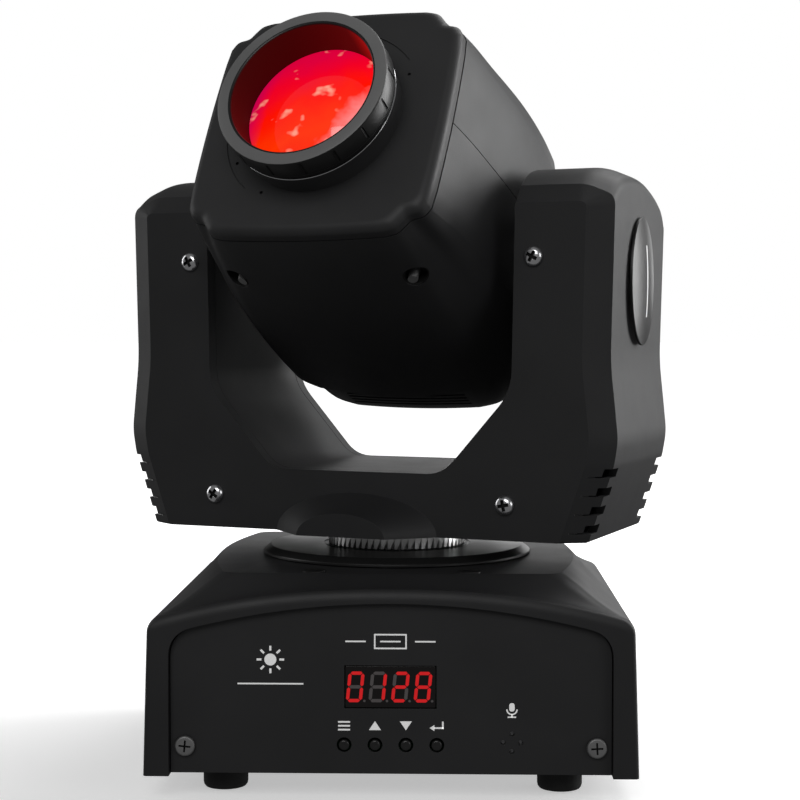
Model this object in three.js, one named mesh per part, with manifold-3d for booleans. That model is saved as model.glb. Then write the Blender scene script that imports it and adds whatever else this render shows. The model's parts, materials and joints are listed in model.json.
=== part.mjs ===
// Small moving head spot light: a base with a control panel, a yoke that pans on it,
// and a head that tilts between the two arms of the yoke.
// Units are millimetres, +Z is up and the floor is z = 0. The pieces are built with the pan
// axis as the Z axis, and the whole lamp is then moved back a little, so that the origin
// ends up under the middle of it. The yoke group is turned about Z and the head group about
// the tilt axis, so the model stands in a working pose: turned a little to one side, beam
// raised.
import * as THREE from 'three';
import Module from 'manifold-3d';
import { mergeVertices } from 'three/addons/utils/BufferGeometryUtils.js';

// ---------------------------------------------------------------- pose
const PAN_AT_REST = 21.5;          // degrees the yoke is turned from straight ahead
const BEAM_AT_REST = 28;           // degrees the beam points above level
const TILT_AXIS_Z = 194.3;
const PAN_AXIS_Y = 7.8;            // how far the pan axis is behind the lamp's middle

// ---------------------------------------------------------------- base
const BASE_HALF_X = 82.5;          // at the bottom edge, the walls lean in a little
const SHOULDER_HALF_X = 81.1;
const BASE_HALF_Y = 74.3;
const BASE_BOTTOM = 8.7;
const SHOULDER_Z = 61.3;
const CROWN_Z = 71.2;              // top of the arched front edge
const PLATEAU_Z = 75;
const PLATEAU_HALF_X = 58;
const PLATEAU_HALF_Y = 60.8;
const PLATEAU_BULGE = 7;           // the plateau's sides bow outwards
const BASE_WALL = 2.5;
const BASE_FRAME = 6;              // depth of the frame round each end panel
const PANEL_RECESS = 2.9;
const PANEL_THICK = 2;
const PANEL_BOTTOM = 9.3;
const OPENING_HALF_X = 73.8;
const OPENING_TOP = 66.7;
const LEDGE = 3;                   // the panel rests on a ledge this wide
const GAP = 0.3;                   // clearance between pieces that meet
const FOOT_X = 57.5;
const FOOT_Y = 51.4;
const FOOT_RADIUS = 7.7;
const SHEET = 1.5;

// ---------------------------------------------------------------- panel fittings
const BUTTON_PITCH = 10.3;
const BUTTON_Z = 19;
const BUTTON_RADIUS = 1.75;
const BUTTON_HOLE = 2.45;
const BUTTON_PROUD = 0.7;
const DISPLAY = { halfX: 15.05, bottom: 31.5, top: 45.3 };
const MIC = { x: 40.4, z: 20, holes: 4, ringRadius: 2.9, holeRadius: 0.9 };
const PANEL_SCREW = { x: 68.6, z: 18.5, head: 3.6 };

// ---------------------------------------------------------------- pan drive
const COLLAR_RADIUS = 49.4;
const COLLAR_HEIGHT = 3;
const BELT_PITCH = 2.5;
const PAN_TEETH = 64;
const PINION_TEETH = 16;
const TILT_TEETH = 32;
const TOOTH_DEPTH = 0.7;
const BELT_OFFSETS = { inner: 0.55, outer: 1.6 };   // from the pulleys' tips
const PAN_MOTOR_X = -57;
const TILT_MOTOR_DROP = 54;

// ---------------------------------------------------------------- yoke
const YOKE_FACE_Y = 37.2;          // half the yoke's depth
const SEAM_Y = 32;                 // where the covers meet the housing
const YOKE_BOTTOM = 85.4;
const YOKE_CHAMFER = 8.4;          // how far the sides stand out beyond the front face
const COVER_TOP = 200;
const COVER_WALL = 2.2;
const HOUSING_WALL = 2.5;
const WINDOW_HALF_X = 58.1;
const WINDOW_CORNER_Z = 136.4;
const WINDOW_FLOOR_HALF_X = 33;
const WINDOW_FLOOR_Z = 107.4;
const NOTCHES = { first: 89.9, pitch: 6.4, count: 4, height: 3, depth: 7, bite: 1.5, innerX: 74, outerX: 100 };
const BOSS = { halfX: 31.5, height: 14.7, tipHalfX: 16.8, tipHeight: 8.2, reach: 13, wall: 2 };
const COVER_SCREWS = [[65.9, 181.9], [55.9, 97.6]];
const COVER_SCREW_HEAD = 3.6;
const BADGE = { z: 174.1, halfZ: 22.3, halfY: 14, foot: 92.9, thick: 2.4 };
const ARM_TOPS = [                 // [y, height of the arm's top] along the housing
  [-31.7, 206.2], [-24, 210.7], [-15, 212.8], [-4, 213.4], [8, 212.4], [20, 209.3],
  [28.5, 205.5], [31.7, 201],
];

// ---------------------------------------------------------------- head
const BEZEL_FRONT = 71.6;          // distances along the beam from the tilt axis
const BEZEL_BACK = 65.9;
const BEZEL = { halfX: 44, halfZ: 43.2, rim: 3.1 };
const SHELL_FRONT = 65.6;
const RING_FRONT = 90.5;
const RING_RADIUS = 30.2;
const RING_BORE = 25.2;
const LENS = { radius: 24.8, back: 74.3, rim: 2, dome: 5.5 };
const REAR_END = 61;
const HEAD_WALL = 2.2;
const ARC_SIDE = 15;               // the shells' rear edge: an arc, further back in the middle
const ARC_MIDDLE = 31;
const FLANGE_X = 46;               // inner face of the head bracket's side flanges
const VENTS = { first: 35, pitch: 2.7, count: 4, slot: 1.3, halfX: 24 };   // over and under the rear cap
const GRILLE = { radius: 21, pitch: 5.2, slot: 2.6 };                      // slots in its back
const POCKET = { x: 33, w: 46, radius: 4 };                                // screw pockets under the head
const WHEEL = { radius: 28, pitch: 22.6, holes: 8, hole: 4.6, thick: 1.4 };
const WHEEL_OFFSET = 16;
const COLOUR_WHEEL_W = 1.5;
const GOBO_WHEEL_W = 5.5;

const FINE = 32;                   // segments round a large circle
const COARSE = 12;

// ---------------------------------------------------------------- geometry helpers
const wasm = await Module();
wasm.setup();

const rad = (degrees) => degrees * Math.PI / 180;

// A closed mesh as a solid, with its faces turned outwards.
function solid(geometry) {
  const bare = new THREE.BufferGeometry();
  bare.setAttribute('position', geometry.getAttribute('position').clone());
  if (geometry.index) bare.setIndex(geometry.index.clone());
  const merged = mergeVertices(bare, 1e-4);
  const corners = merged.index.array;
  const kept = [];
  for (let i = 0; i < corners.length; i += 3) {
    const [a, b, c] = [corners[i], corners[i + 1], corners[i + 2]];
    if (a !== b && b !== c && c !== a) kept.push(a, b, c);
  }
  const vertProperties = Float32Array.from(merged.getAttribute('position').array);
  const make = (triangles) => new wasm.Manifold(
    new wasm.Mesh({ numProp: 3, vertProperties, triVerts: Uint32Array.from(triangles) }));
  const first = make(kept);
  if (first.volume() > 0) return first;
  return make(kept.map((v, i) => kept[i - (i % 3) + [0, 2, 1][i % 3]]));
}

function fromSolid(manifold) {
  const mesh = manifold.getMesh();
  const geometry = new THREE.BufferGeometry();
  geometry.setAttribute('position', new THREE.BufferAttribute(Float32Array.from(mesh.vertProperties), 3));
  geometry.setIndex(Array.from(mesh.triVerts));
  geometry.computeVertexNormals();
  return geometry;
}

const join = (first, ...others) => others.reduce((whole, piece) => whole.add(piece), first);
const cut = (first, ...others) => others.reduce((whole, piece) => whole.subtract(piece), first);

function box(x0, x1, y0, y1, z0, z1) {
  const geometry = new THREE.BoxGeometry(x1 - x0, y1 - y0, z1 - z0);
  geometry.translate((x0 + x1) / 2, (y0 + y1) / 2, (z0 + z1) / 2);
  return solid(geometry);
}

// A cylinder along an axis, centred on the point given in the other two coordinates.
function rod(axis, radius, from, to, a = 0, b = 0, segments = COARSE) {
  const geometry = new THREE.CylinderGeometry(radius, radius, to - from, segments);
  geometry.translate(0, (from + to) / 2, 0);
  if (axis === 'x') {
    geometry.rotateZ(-Math.PI / 2);
    geometry.translate(0, a, b);
  } else if (axis === 'y') {
    geometry.translate(a, 0, b);
  } else {
    geometry.rotateX(Math.PI / 2);
    geometry.translate(a, b, 0);
  }
  return solid(geometry);
}

// A turned piece from [radius, height] pairs, about the X, Y or Z axis.
function turned(axis, profile, segments = FINE) {
  const points = profile.map(([radius, height]) => new THREE.Vector2(radius, height));
  const geometry = new THREE.LatheGeometry(points, segments);
  if (axis === 'z') geometry.rotateX(Math.PI / 2);
  if (axis === 'x') geometry.rotateZ(-Math.PI / 2);
  if (axis === 'beam') geometry.rotateX(Math.PI);
  return solid(geometry);
}

// A ring with a rectangular section.
const ring = (axis, outer, inner, from, to, segments = FINE) => turned(
  axis, [[inner, from], [outer, from], [outer, to], [inner, to], [inner, from]], segments);

const shapeOf = (points) => new THREE.Shape(points.map(([x, y]) => new THREE.Vector2(x, y)));

// An outline in X and Z, extruded from y0 to y1.
function extrudedY(shape, y0, y1, curveSegments = 12) {
  const geometry = new THREE.ExtrudeGeometry(shape, { depth: y1 - y0, bevelEnabled: false, curveSegments });
  geometry.rotateX(Math.PI / 2);
  geometry.translate(0, y1, 0);
  return solid(geometry);
}

// An outline in X and Y, extruded from z0 to z1.
function extrudedZ(shape, z0, z1, curveSegments = 12) {
  const geometry = new THREE.ExtrudeGeometry(shape, { depth: z1 - z0, bevelEnabled: false, curveSegments });
  geometry.translate(0, 0, z0);
  return solid(geometry);
}

// An outline in Y and Z, extruded from x0 to x1.
function extrudedX(shape, x0, x1, curveSegments = 12) {
  const geometry = new THREE.ExtrudeGeometry(shape, { depth: x1 - x0, bevelEnabled: false, curveSegments });
  geometry.applyMatrix4(new THREE.Matrix4().set(0, 0, 1, x0, 1, 0, 0, 0, 0, 1, 0, 0, 0, 0, 0, 1));
  return solid(geometry);
}

// A closed skin over rings of points that have the same number of points each.
// flatten gives the two coordinates in which the end caps are filled.
function lofted(rings, flatten) {
  const count = rings[0].length;
  const position = rings.flat(2);
  const index = [];
  for (let r = 0; r + 1 < rings.length; r += 1) {
    for (let i = 0; i < count; i += 1) {
      const j = (i + 1) % count;
      const [a, b, c, d] = [r * count + i, r * count + j, (r + 1) * count + j, (r + 1) * count + i];
      index.push(a, b, c, a, c, d);
    }
  }
  const capOf = (points) => THREE.ShapeUtils.triangulateShape(
    points.map((p) => new THREE.Vector2(...flatten(p))), []);
  const last = (rings.length - 1) * count;
  const turn = THREE.ShapeUtils.area(rings[0].map((p) => new THREE.Vector2(...flatten(p)))) > 0 ? 1 : -1;
  for (const [a, b, c] of capOf(rings[0])) index.push(...(turn > 0 ? [a, c, b] : [a, b, c]));
  for (const [a, b, c] of capOf(rings[rings.length - 1])) {
    index.push(...(turn > 0 ? [last + a, last + b, last + c] : [last + a, last + c, last + b]));
  }
  const geometry = new THREE.BufferGeometry();
  geometry.setAttribute('position', new THREE.Float32BufferAttribute(position, 3));
  geometry.setIndex(index);
  return solid(geometry);
}

// Corners given as [x, y, cut, steps]: each corner with a cut is rounded by a curve that
// starts and ends that far from it.
function rounded(corners) {
  const path = [];
  corners.forEach(([x, y, trim = 0, steps = 3], i) => {
    if (trim === 0) {
      path.push([x, y]);
      return;
    }
    const before = corners[(i + corners.length - 1) % corners.length];
    const after = corners[(i + 1) % corners.length];
    const towards = ([px, py]) => {
      const length = Math.hypot(px - x, py - y);
      return [x + (px - x) * trim / length, y + (py - y) * trim / length];
    };
    const [start, end] = [towards(before), towards(after)];
    for (let s = 0; s <= steps; s += 1) {
      const t = s / steps;
      const [p, q, r] = [(1 - t) * (1 - t), 2 * t * (1 - t), t * t];
      path.push([p * start[0] + q * x + r * end[0], p * start[1] + q * y + r * end[1]]);
    }
  });
  return path;
}

// ---------------------------------------------------------------- scene helpers
const baseGroup = new THREE.Group();
const yokeGroup = new THREE.Group();
const headGroup = new THREE.Group();
yokeGroup.rotation.z = rad(-PAN_AT_REST);
headGroup.position.z = TILT_AXIS_Z;
headGroup.rotation.x = rad(-BEAM_AT_REST);
yokeGroup.add(headGroup);

const finish = (color, roughness, metalness = 0) => ({ color, roughness, metalness });
const BLACK_PLASTIC = finish(0x1b1b1c, 0.5);
const GLOSS_BLACK = finish(0x0e0e0f, 0.2);
const RUBBER = finish(0x101010, 0.85);
const CHROME = finish(0xd8d8da, 0.15, 1);
const ZINC = finish(0x9a9c9f, 0.4, 0.9);
const STEEL = finish(0x8e9196, 0.35, 1);
const ALUMINIUM = finish(0xb9bcc0, 0.35, 1);
const BOARD_GREEN = finish(0x1d5a35, 0.55);
const LENS_RED = finish(0xe01226, 0.08);
const DISPLAY_RED = finish(0x2a0505, 0.3);

function place(group, name, manifold, { color, roughness, metalness }) {
  const material = new THREE.MeshStandardMaterial({ color, roughness, metalness });
  const mesh = new THREE.Mesh(fromSolid(manifold), material);
  mesh.name = name;
  group.add(mesh);
}

// ---------------------------------------------------------------- base
// A ring of points round the base: straight or arched front and back edges, bowed sides.
function baseRing(halfX, halfY, bulge, sideZ, crownZ) {
  const FRONT_STEPS = 12;
  const SIDE_STEPS = 6;
  const points = [];
  for (const way of [1, -1]) {
    for (let i = 0; i < FRONT_STEPS; i += 1) {
      const t = 2 * i / FRONT_STEPS - 1;
      const z = sideZ + (crownZ - sideZ) * (1 - Math.abs(t) ** 2.3);
      points.push([way * t * halfX, -way * halfY, z]);
    }
    for (let i = 0; i < SIDE_STEPS; i += 1) {
      const t = 2 * i / SIDE_STEPS - 1;
      points.push([way * (halfX + bulge * (1 - t * t)), way * t * halfY, sideZ]);
    }
  }
  return points;
}

// The opening for an end panel, arched on top; inset makes it smaller all round.
function panelOutline(inset, bottom) {
  const halfX = OPENING_HALF_X - inset;
  const arch = (x) => OPENING_TOP - inset - 0.0019 * x * x;
  const crown = [];
  const STEPS = 12;
  const CORNER = 8;
  const archHalf = halfX - CORNER - 1;
  for (let i = 0; i <= STEPS; i += 1) {
    const x = archHalf * (1 - 2 * i / STEPS);
    crown.push([x, arch(x)]);
  }
  return rounded([[-halfX, bottom], [halfX, bottom], [halfX, arch(halfX), CORNER, 2],
    ...crown, [-halfX, arch(halfX), CORNER, 2]]);
}

function baseCover() {
  const flat = ([x, y]) => [x, y];
  const outer = lofted([
    baseRing(BASE_HALF_X, BASE_HALF_Y, 0, BASE_BOTTOM, BASE_BOTTOM),
    baseRing(SHOULDER_HALF_X, BASE_HALF_Y, 0, SHOULDER_Z - 4.2, CROWN_Z - 3.2),
    baseRing(SHOULDER_HALF_X - 0.8, BASE_HALF_Y - 0.5, 0, SHOULDER_Z - 1.5, CROWN_Z - 1),
    baseRing(SHOULDER_HALF_X - 2.8, BASE_HALF_Y - 2.2, 0, SHOULDER_Z, CROWN_Z),
    baseRing(PLATEAU_HALF_X, PLATEAU_HALF_Y, PLATEAU_BULGE, PLATEAU_Z, PLATEAU_Z),
  ], flat);
  const innerY = BASE_HALF_Y - BASE_FRAME;
  const underPlateau = PLATEAU_Z - BASE_WALL;
  const inner = lofted([
    baseRing(BASE_HALF_X - BASE_WALL, innerY, 0, BASE_BOTTOM - 1, BASE_BOTTOM - 1),
    baseRing(SHOULDER_HALF_X - BASE_WALL, innerY, 0, SHOULDER_Z - 6, CROWN_Z - 5),
    baseRing(PLATEAU_HALF_X - 4, PLATEAU_HALF_Y - 6, PLATEAU_BULGE, underPlateau, underPlateau),
  ], flat);
  const below = BASE_BOTTOM - 2;
  const pocketDepth = PANEL_RECESS + PANEL_THICK + GAP;
  const openings = [-1, 1].flatMap((side) => {
    const span = (near, far) => (side < 0 ? [-near, -far] : [far, near]);
    const [p0, p1] = span(BASE_HALF_Y + 1, BASE_HALF_Y - pocketDepth);
    const [t0, t1] = span(BASE_HALF_Y + 1, innerY - 1);
    return [
      extrudedY(shapeOf(panelOutline(0, below)), p0, p1),
      extrudedY(shapeOf(panelOutline(LEDGE, below)), t0, t1),
    ];
  });
  const shaftHole = rod('z', 14, PLATEAU_Z - 10, PLATEAU_Z + 10, 0, 0, FINE);
  return cut(outer, inner, ...openings, shaftHole);
}

function basePlate() {
  const halfX = BASE_HALF_X - BASE_WALL - 1;
  const halfY = BASE_HALF_Y - BASE_FRAME - 0.6;
  const bottom = BASE_BOTTOM + GAP;
  const trim = 4;
  const corners = [[-halfX, -halfY, trim], [halfX, -halfY, trim], [halfX, halfY, trim], [-halfX, halfY, trim]];
  const outline = rounded(corners);
  const plate = extrudedZ(shapeOf(outline), bottom, bottom + SHEET);
  const tabs = [];
  for (const x of [-PANEL_SCREW.x, PANEL_SCREW.x]) {
    for (const side of [-1, 1]) {
      const y = side * (halfY - SHEET / 2);
      tabs.push(box(x - 5, x + 5, y - SHEET / 2, y + SHEET / 2, bottom + 0.5, PANEL_SCREW.z + 6));
    }
  }
  const holes = [];
  for (const x of [-PANEL_SCREW.x, PANEL_SCREW.x]) {
    holes.push(rod('y', 1.9, -BASE_HALF_Y, BASE_HALF_Y, x, PANEL_SCREW.z, 16));
  }
  return cut(join(plate, ...tabs), ...holes);
}

function foot() {
  const top = BASE_BOTTOM;
  const profile = [[0, 0], [FOOT_RADIUS - 1.1, 0], [FOOT_RADIUS - 0.5, 0.6], [FOOT_RADIUS, top], [0, top]];
  return turned('z', profile, COARSE);
}

const panelFront = -(BASE_HALF_Y - PANEL_RECESS);
const buttonX = (i) => (i - 1.5) * BUTTON_PITCH;

function controlPanel() {
  const back = panelFront + PANEL_THICK;
  const through = (radius, x, z, segments = 16) => rod('y', radius, panelFront - 1, back + 1, x, z, segments);
  const sheet = extrudedY(shapeOf(panelOutline(GAP, PANEL_BOTTOM)), panelFront, back);
  const holes = [];
  for (let i = 0; i < 4; i += 1) holes.push(through(BUTTON_HOLE, buttonX(i), BUTTON_Z));
  for (const x of [-PANEL_SCREW.x, PANEL_SCREW.x]) holes.push(through(1.9, x, PANEL_SCREW.z));
  for (let i = 0; i < MIC.holes; i += 1) {
    const angle = rad(90 + 360 * i / MIC.holes);
    const [x, z] = [MIC.x + MIC.ringRadius * Math.cos(angle), MIC.z + MIC.ringRadius * Math.sin(angle)];
    holes.push(through(MIC.holeRadius, x, z, 8));
  }
  const window = box(-DISPLAY.halfX - GAP, DISPLAY.halfX + GAP, panelFront - 1, back + 1,
    DISPLAY.bottom - GAP, DISPLAY.top + GAP);
  return cut(sheet, window, ...holes);
}

const boardFront = panelFront + 8.6;

function displayModule() {
  return box(-DISPLAY.halfX, DISPLAY.halfX, panelFront + 0.4, boardFront - GAP, DISPLAY.bottom, DISPLAY.top);
}

function controlBoard() {
  const board = box(-30, 52, boardFront, boardFront + 1.6, 13, 52);
  const header = box(-26, -6, boardFront + 1.5, boardFront + 9, 40, 49);
  return join(board, header);
}

function button() {
  const front = panelFront - BUTTON_PROUD;
  const back = boardFront - 1;
  return turned('y', [[0, front], [BUTTON_RADIUS - 0.3, front], [BUTTON_RADIUS, front + 0.3],
    [BUTTON_RADIUS, back], [0, back]], 12);
}

function microphone() {
  return rod('y', 4.7, panelFront + PANEL_THICK + GAP, boardFront - GAP, MIC.x, MIC.z);
}

function panelScrew() {
  const head = panelFront - GAP / 3;
  return turned('y', [[0, head - 1.6], [1.9, head - 1.5], [PANEL_SCREW.head - 0.4, head - 0.9],
    [PANEL_SCREW.head, head - 0.2], [PANEL_SCREW.head, head], [1.4, head], [1.4, head + 8], [0, head + 8]], 10);
}

const INLET = { x: -46, z: 36, halfX: 15, halfZ: 20 };
const SOCKETS = { input: 2, output: 44, z: 36 };

function rearPanel() {
  const front = BASE_HALF_Y - PANEL_RECESS - PANEL_THICK;
  const sheet = extrudedY(shapeOf(panelOutline(GAP, PANEL_BOTTOM)), front, front + PANEL_THICK);
  const inletHole = box(INLET.x - 13, INLET.x + 13, front - 1, front + 4, INLET.z - 17, INLET.z + 17);
  const round = (radius, x, z, segments) => rod('y', radius, front - 1, front + 4, x, z, segments);
  const socketHoles = [SOCKETS.input, SOCKETS.output].map((x) => round(11.6, x, SOCKETS.z, COARSE));
  const screwHoles = [-PANEL_SCREW.x, PANEL_SCREW.x].map((x) => round(1.9, x, PANEL_SCREW.z, 16));
  return cut(sheet, inletHole, ...socketHoles, ...screwHoles);
}

// A three-pin appliance inlet over a fuse drawer.
function powerInlet() {
  const face = BASE_HALF_Y - PANEL_RECESS + GAP;
  const flange = box(INLET.x - INLET.halfX, INLET.x + INLET.halfX, face, face + 2.2,
    INLET.z - INLET.halfZ, INLET.z + INLET.halfZ);
  const body = box(INLET.x - 12.6, INLET.x + 12.6, face - 24, face + 1, INLET.z - 16.6, INLET.z + 16.6);
  const mouthZ = INLET.z + 5.5;
  const mouthCorners = [[-12, -8], [12, -8], [12, 3], [7, 8], [-7, 8], [-12, 3]];
  const mouthShape = shapeOf(mouthCorners.map(([dx, dz]) => [INLET.x + dx, mouthZ + dz]));
  const mouth = extrudedY(mouthShape, face - 14, face + 5);
  const pins = [[-7, 0], [0, 3], [7, 0]].map(([dx, dz]) => box(INLET.x + dx - 1, INLET.x + dx + 1,
    face - 15, face - 1, mouthZ + dz - 2.4, mouthZ + dz + 1.6));
  const drawerGroove = cut(
    box(INLET.x - 11, INLET.x + 11, face + 1.4, face + 5, INLET.z - 17.5, INLET.z - 6.5),
    box(INLET.x - 10, INLET.x + 10, face, face + 6, INLET.z - 16.5, INLET.z - 7.5));
  return join(cut(join(flange, body), mouth, drawerGroove), ...pins);
}

function signalSocket(x, hasPins) {
  const face = BASE_HALF_Y - PANEL_RECESS + GAP;
  const flange = box(x - 13, x + 13, face, face + 2, SOCKETS.z - 15.5, SOCKETS.z + 15.5);
  const barrel = rod('y', 11.2, face - 20, face + 4, x, SOCKETS.z);
  const cavity = rod('y', 9.2, face - 11, face + 6, x, SOCKETS.z);
  const pinPlaces = [-1, 0, 1].map((i) => [x + 3.5 * i, SOCKETS.z + (i === 0 ? -3 : 2)]);
  const shell = cut(join(flange, barrel), cavity);
  if (hasPins) {
    const pins = pinPlaces.map(([px, pz]) => rod('y', 1.2, face - 12, face - 1, px, pz, 10));
    return join(shell, ...pins);
  }
  const insert = rod('y', 7.6, face - 12, face + 2, x, SOCKETS.z);
  const contacts = pinPlaces.map(([px, pz]) => rod('y', 1.3, face - 8, face + 4, px, pz, 10));
  return join(shell, cut(insert, ...contacts));
}

function powerSupply() {
  const floor = BASE_BOTTOM + GAP + SHEET + GAP;
  const board = box(-40, 30, -32, 28, floor, floor + 3);
  const transformer = box(-30, -6, -20, 8, floor + 2, floor + 26);
  const capacitor = rod('z', 8, floor + 2, floor + 27, 8, -14);
  const sink = box(-38, -34, -25, 25, floor + 2, floor + 28);
  const choke = box(6, 24, 6, 22, floor + 2, floor + 18);
  return join(board, transformer, capacitor, sink, choke);
}

// ---------------------------------------------------------------- pan drive
const pitchRadius = (teeth) => teeth * BELT_PITCH / (2 * Math.PI);
const tipRadius = (teeth) => pitchRadius(teeth) - 0.25;

// A toothed pulley outline, one tip and one root point to each tooth.
function toothedOutline(teeth) {
  const outer = tipRadius(teeth);
  const points = [];
  for (let i = 0; i < teeth; i += 1) {
    for (const [part, radius] of [[0, outer], [0.5, outer - TOOTH_DEPTH]]) {
      const angle = 2 * Math.PI * (i + part) / teeth;
      points.push([radius * Math.cos(angle), radius * Math.sin(angle)]);
    }
  }
  return shapeOf(points);
}

const collarBottom = PLATEAU_Z + GAP;
const gearBottom = collarBottom + COLLAR_HEIGHT + GAP;
const gearTop = 91.3;
const bracketBottom = 92;

function panCollar() {
  const top = collarBottom + COLLAR_HEIGHT;
  const bore = 15.3;
  return turned('z', [[bore, collarBottom], [COLLAR_RADIUS, collarBottom], [COLLAR_RADIUS, collarBottom + 0.8],
    [COLLAR_RADIUS - 2.8, top], [bore, top], [bore, collarBottom]], 48);
}

function panGear() {
  const blank = extrudedZ(toothedOutline(PAN_TEETH), gearBottom, gearTop);
  const seat = rod('z', 19.3, gearBottom + 5, gearTop + 1, 0, 0, FINE);
  const bore = rod('z', 13.2, gearBottom - 1, gearTop + 1, 0, 0, FINE);
  return cut(blank, seat, bore);
}

const panBearing = () => ring('z', 19, 12.3, gearBottom + 5.3, gearTop);

// The outline of a belt round two pulleys, at one offset from both.
function beltOutline(largeRadius, smallRadius, distance, offset, Kind = THREE.Shape) {
  const [large, small] = [largeRadius + offset, smallRadius + offset];
  const lean = Math.acos((large - small) / distance);
  const outline = new Kind();
  const STEPS = 16;
  const points = [];
  for (let i = 0; i <= STEPS; i += 1) {
    const angle = lean + (2 * Math.PI - 2 * lean) * i / STEPS;
    points.push(new THREE.Vector2(large * Math.cos(angle), large * Math.sin(angle)));
  }
  for (let i = 0; i <= STEPS; i += 1) {
    const angle = -lean + 2 * lean * i / STEPS;
    points.push(new THREE.Vector2(distance + small * Math.cos(angle), small * Math.sin(angle)));
  }
  outline.setFromPoints(points);
  return outline;
}

function beltShape(largeTeeth, distance) {
  const sizes = [tipRadius(largeTeeth), tipRadius(PINION_TEETH), distance];
  const shape = beltOutline(...sizes, BELT_OFFSETS.outer);
  shape.holes.push(beltOutline(...sizes, BELT_OFFSETS.inner, THREE.Path));
  return shape;
}

function panBelt() {
  const shape = beltShape(PAN_TEETH, -PAN_MOTOR_X);
  const geometry = new THREE.ExtrudeGeometry(shape, { depth: 2.8, bevelEnabled: false });
  geometry.rotateZ(Math.PI);
  geometry.translate(0, 0, 88.4);
  return solid(geometry);
}

function pinion(axis) {
  const teeth = toothedOutline(PINION_TEETH);
  const body = axis === 'z' ? extrudedZ(teeth, 88.2, 91.5) : extrudedX(teeth, 66, 71);
  const bore = axis === 'z' ? rod('z', 1.9, 80, 95, 0, 0, 12) : rod('x', 1.9, 60, 75, 0, 0, 12);
  return cut(body, bore);
}

// A round stepper motor with its shaft pointing down.
function panMotor() {
  const top = bracketBottom + SHEET + GAP;
  const can = rod('z', 14, top, top + 16.5, PAN_MOTOR_X, 0, FINE);
  const shaft = rod('z', 1.5, 88.3, top + 1, PAN_MOTOR_X, 0, 12);
  return join(can, shaft);
}

// ---------------------------------------------------------------- yoke
// The outline of the yoke at one depth. lateral widens the outer sides, top is the arm's
// height over its inner part, drop is how much lower the outer corner is, and inset
// moves every edge into the material.
function yokeOutline(lateral, top, drop, inset) {
  const out = lateral - inset;
  const cornerTrim = Math.min(2.5, 0.45 * Math.hypot(1.7 + out - inset * 0.3, drop));
  const right = [
    [75.4 + out, YOKE_BOTTOM + inset, 1, 1],
    [84.2 + out, 111.6, 2, 1],
    [85.6 + out, 120, 4, 2],
    [84.2 + out, 134, 5, 1],
    [82.9 + out, 146, 5, 1],
    [84.3 + out, top - drop - inset, cornerTrim, 2],
    [82.6 + inset * 0.3, top - inset, cornerTrim, 1],
    [WINDOW_HALF_X + 1.2 + inset, top - inset],
    [WINDOW_HALF_X + inset, WINDOW_CORNER_Z - inset * 0.4, 7, 2],
    [WINDOW_FLOOR_HALF_X + inset * 0.4, WINDOW_FLOOR_Z - inset, 6, 2],
  ];
  const left = right.map(([x, z, trim, steps]) => [-x, z, trim, steps]).reverse();
  return rounded([...right, ...left]);
}

const yokeRing = (y, ...sizes) => yokeOutline(...sizes).map(([x, z]) => [x, y, z]);
const inXZ = ([x, , z]) => [x, z];
const OUTER_DROP = 4.2;

// The slots down both seams of each arm's lower end, which bite into the covers' edges too.
function sideNotches() {
  const slots = [];
  for (let i = 0; i < NOTCHES.count; i += 1) {
    const z = NOTCHES.first + i * NOTCHES.pitch - NOTCHES.height / 2;
    for (const [y0, y1] of [[-SEAM_Y - NOTCHES.bite, -SEAM_Y + NOTCHES.depth],
      [SEAM_Y - NOTCHES.depth, SEAM_Y + NOTCHES.bite]]) {
      slots.push(box(NOTCHES.innerX, NOTCHES.outerX, y0, y1, z, z + NOTCHES.height));
      slots.push(box(-NOTCHES.outerX, -NOTCHES.innerX, y0, y1, z, z + NOTCHES.height));
    }
  }
  return slots;
}

function yokeHousing() {
  const outer = lofted(ARM_TOPS.map(([y, top]) => yokeRing(y, YOKE_CHAMFER, top, OUTER_DROP, 0)), inXZ);
  const beyond = SEAM_Y + 2;
  const [firstTop, lastTop] = [ARM_TOPS[0][1], ARM_TOPS.at(-1)[1]];
  const hollowTops = [[-beyond, firstTop], ARM_TOPS[1], ARM_TOPS[3], ARM_TOPS[5], [beyond, lastTop]];
  const hollowRing = ([y, top]) => yokeRing(y, YOKE_CHAMFER, top, OUTER_DROP, HOUSING_WALL);
  const inner = lofted(hollowTops.map(hollowRing), inXZ);
  const posts = [];
  const postHoles = [];
  for (const [x, z] of COVER_SCREWS) {
    for (const side of [-1, 1]) {
      for (const end of [-1, 1]) {
        const [y0, y1] = end < 0 ? [-SEAM_Y + 0.5, -20] : [20, SEAM_Y - 0.5];
        const [x0, x1] = z > WINDOW_CORNER_Z ? [WINDOW_HALF_X + 1, x + 4] : [x - 4, x + 4];
        const low = z > WINDOW_CORNER_Z ? z - 4 : YOKE_BOTTOM + 1;
        posts.push(side > 0 ? box(x0, x1, y0, y1, low, z + 4) : box(-x1, -x0, y0, y1, low, z + 4));
        postHoles.push(rod('y', 1.8, y0 - 3, y1 + 3, side * x, z, 8));
      }
    }
  }
  const gearHole = rod('z', 28.5, YOKE_BOTTOM - 2, YOKE_BOTTOM + 6, 0, 0, FINE);
  const shaftHoles = rod('x', 8.6, -66, 66, 0, TILT_AXIS_Z);
  return cut(join(cut(outer, inner), ...posts), ...postHoles, ...sideNotches(), gearHole, shaftHoles);
}

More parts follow.
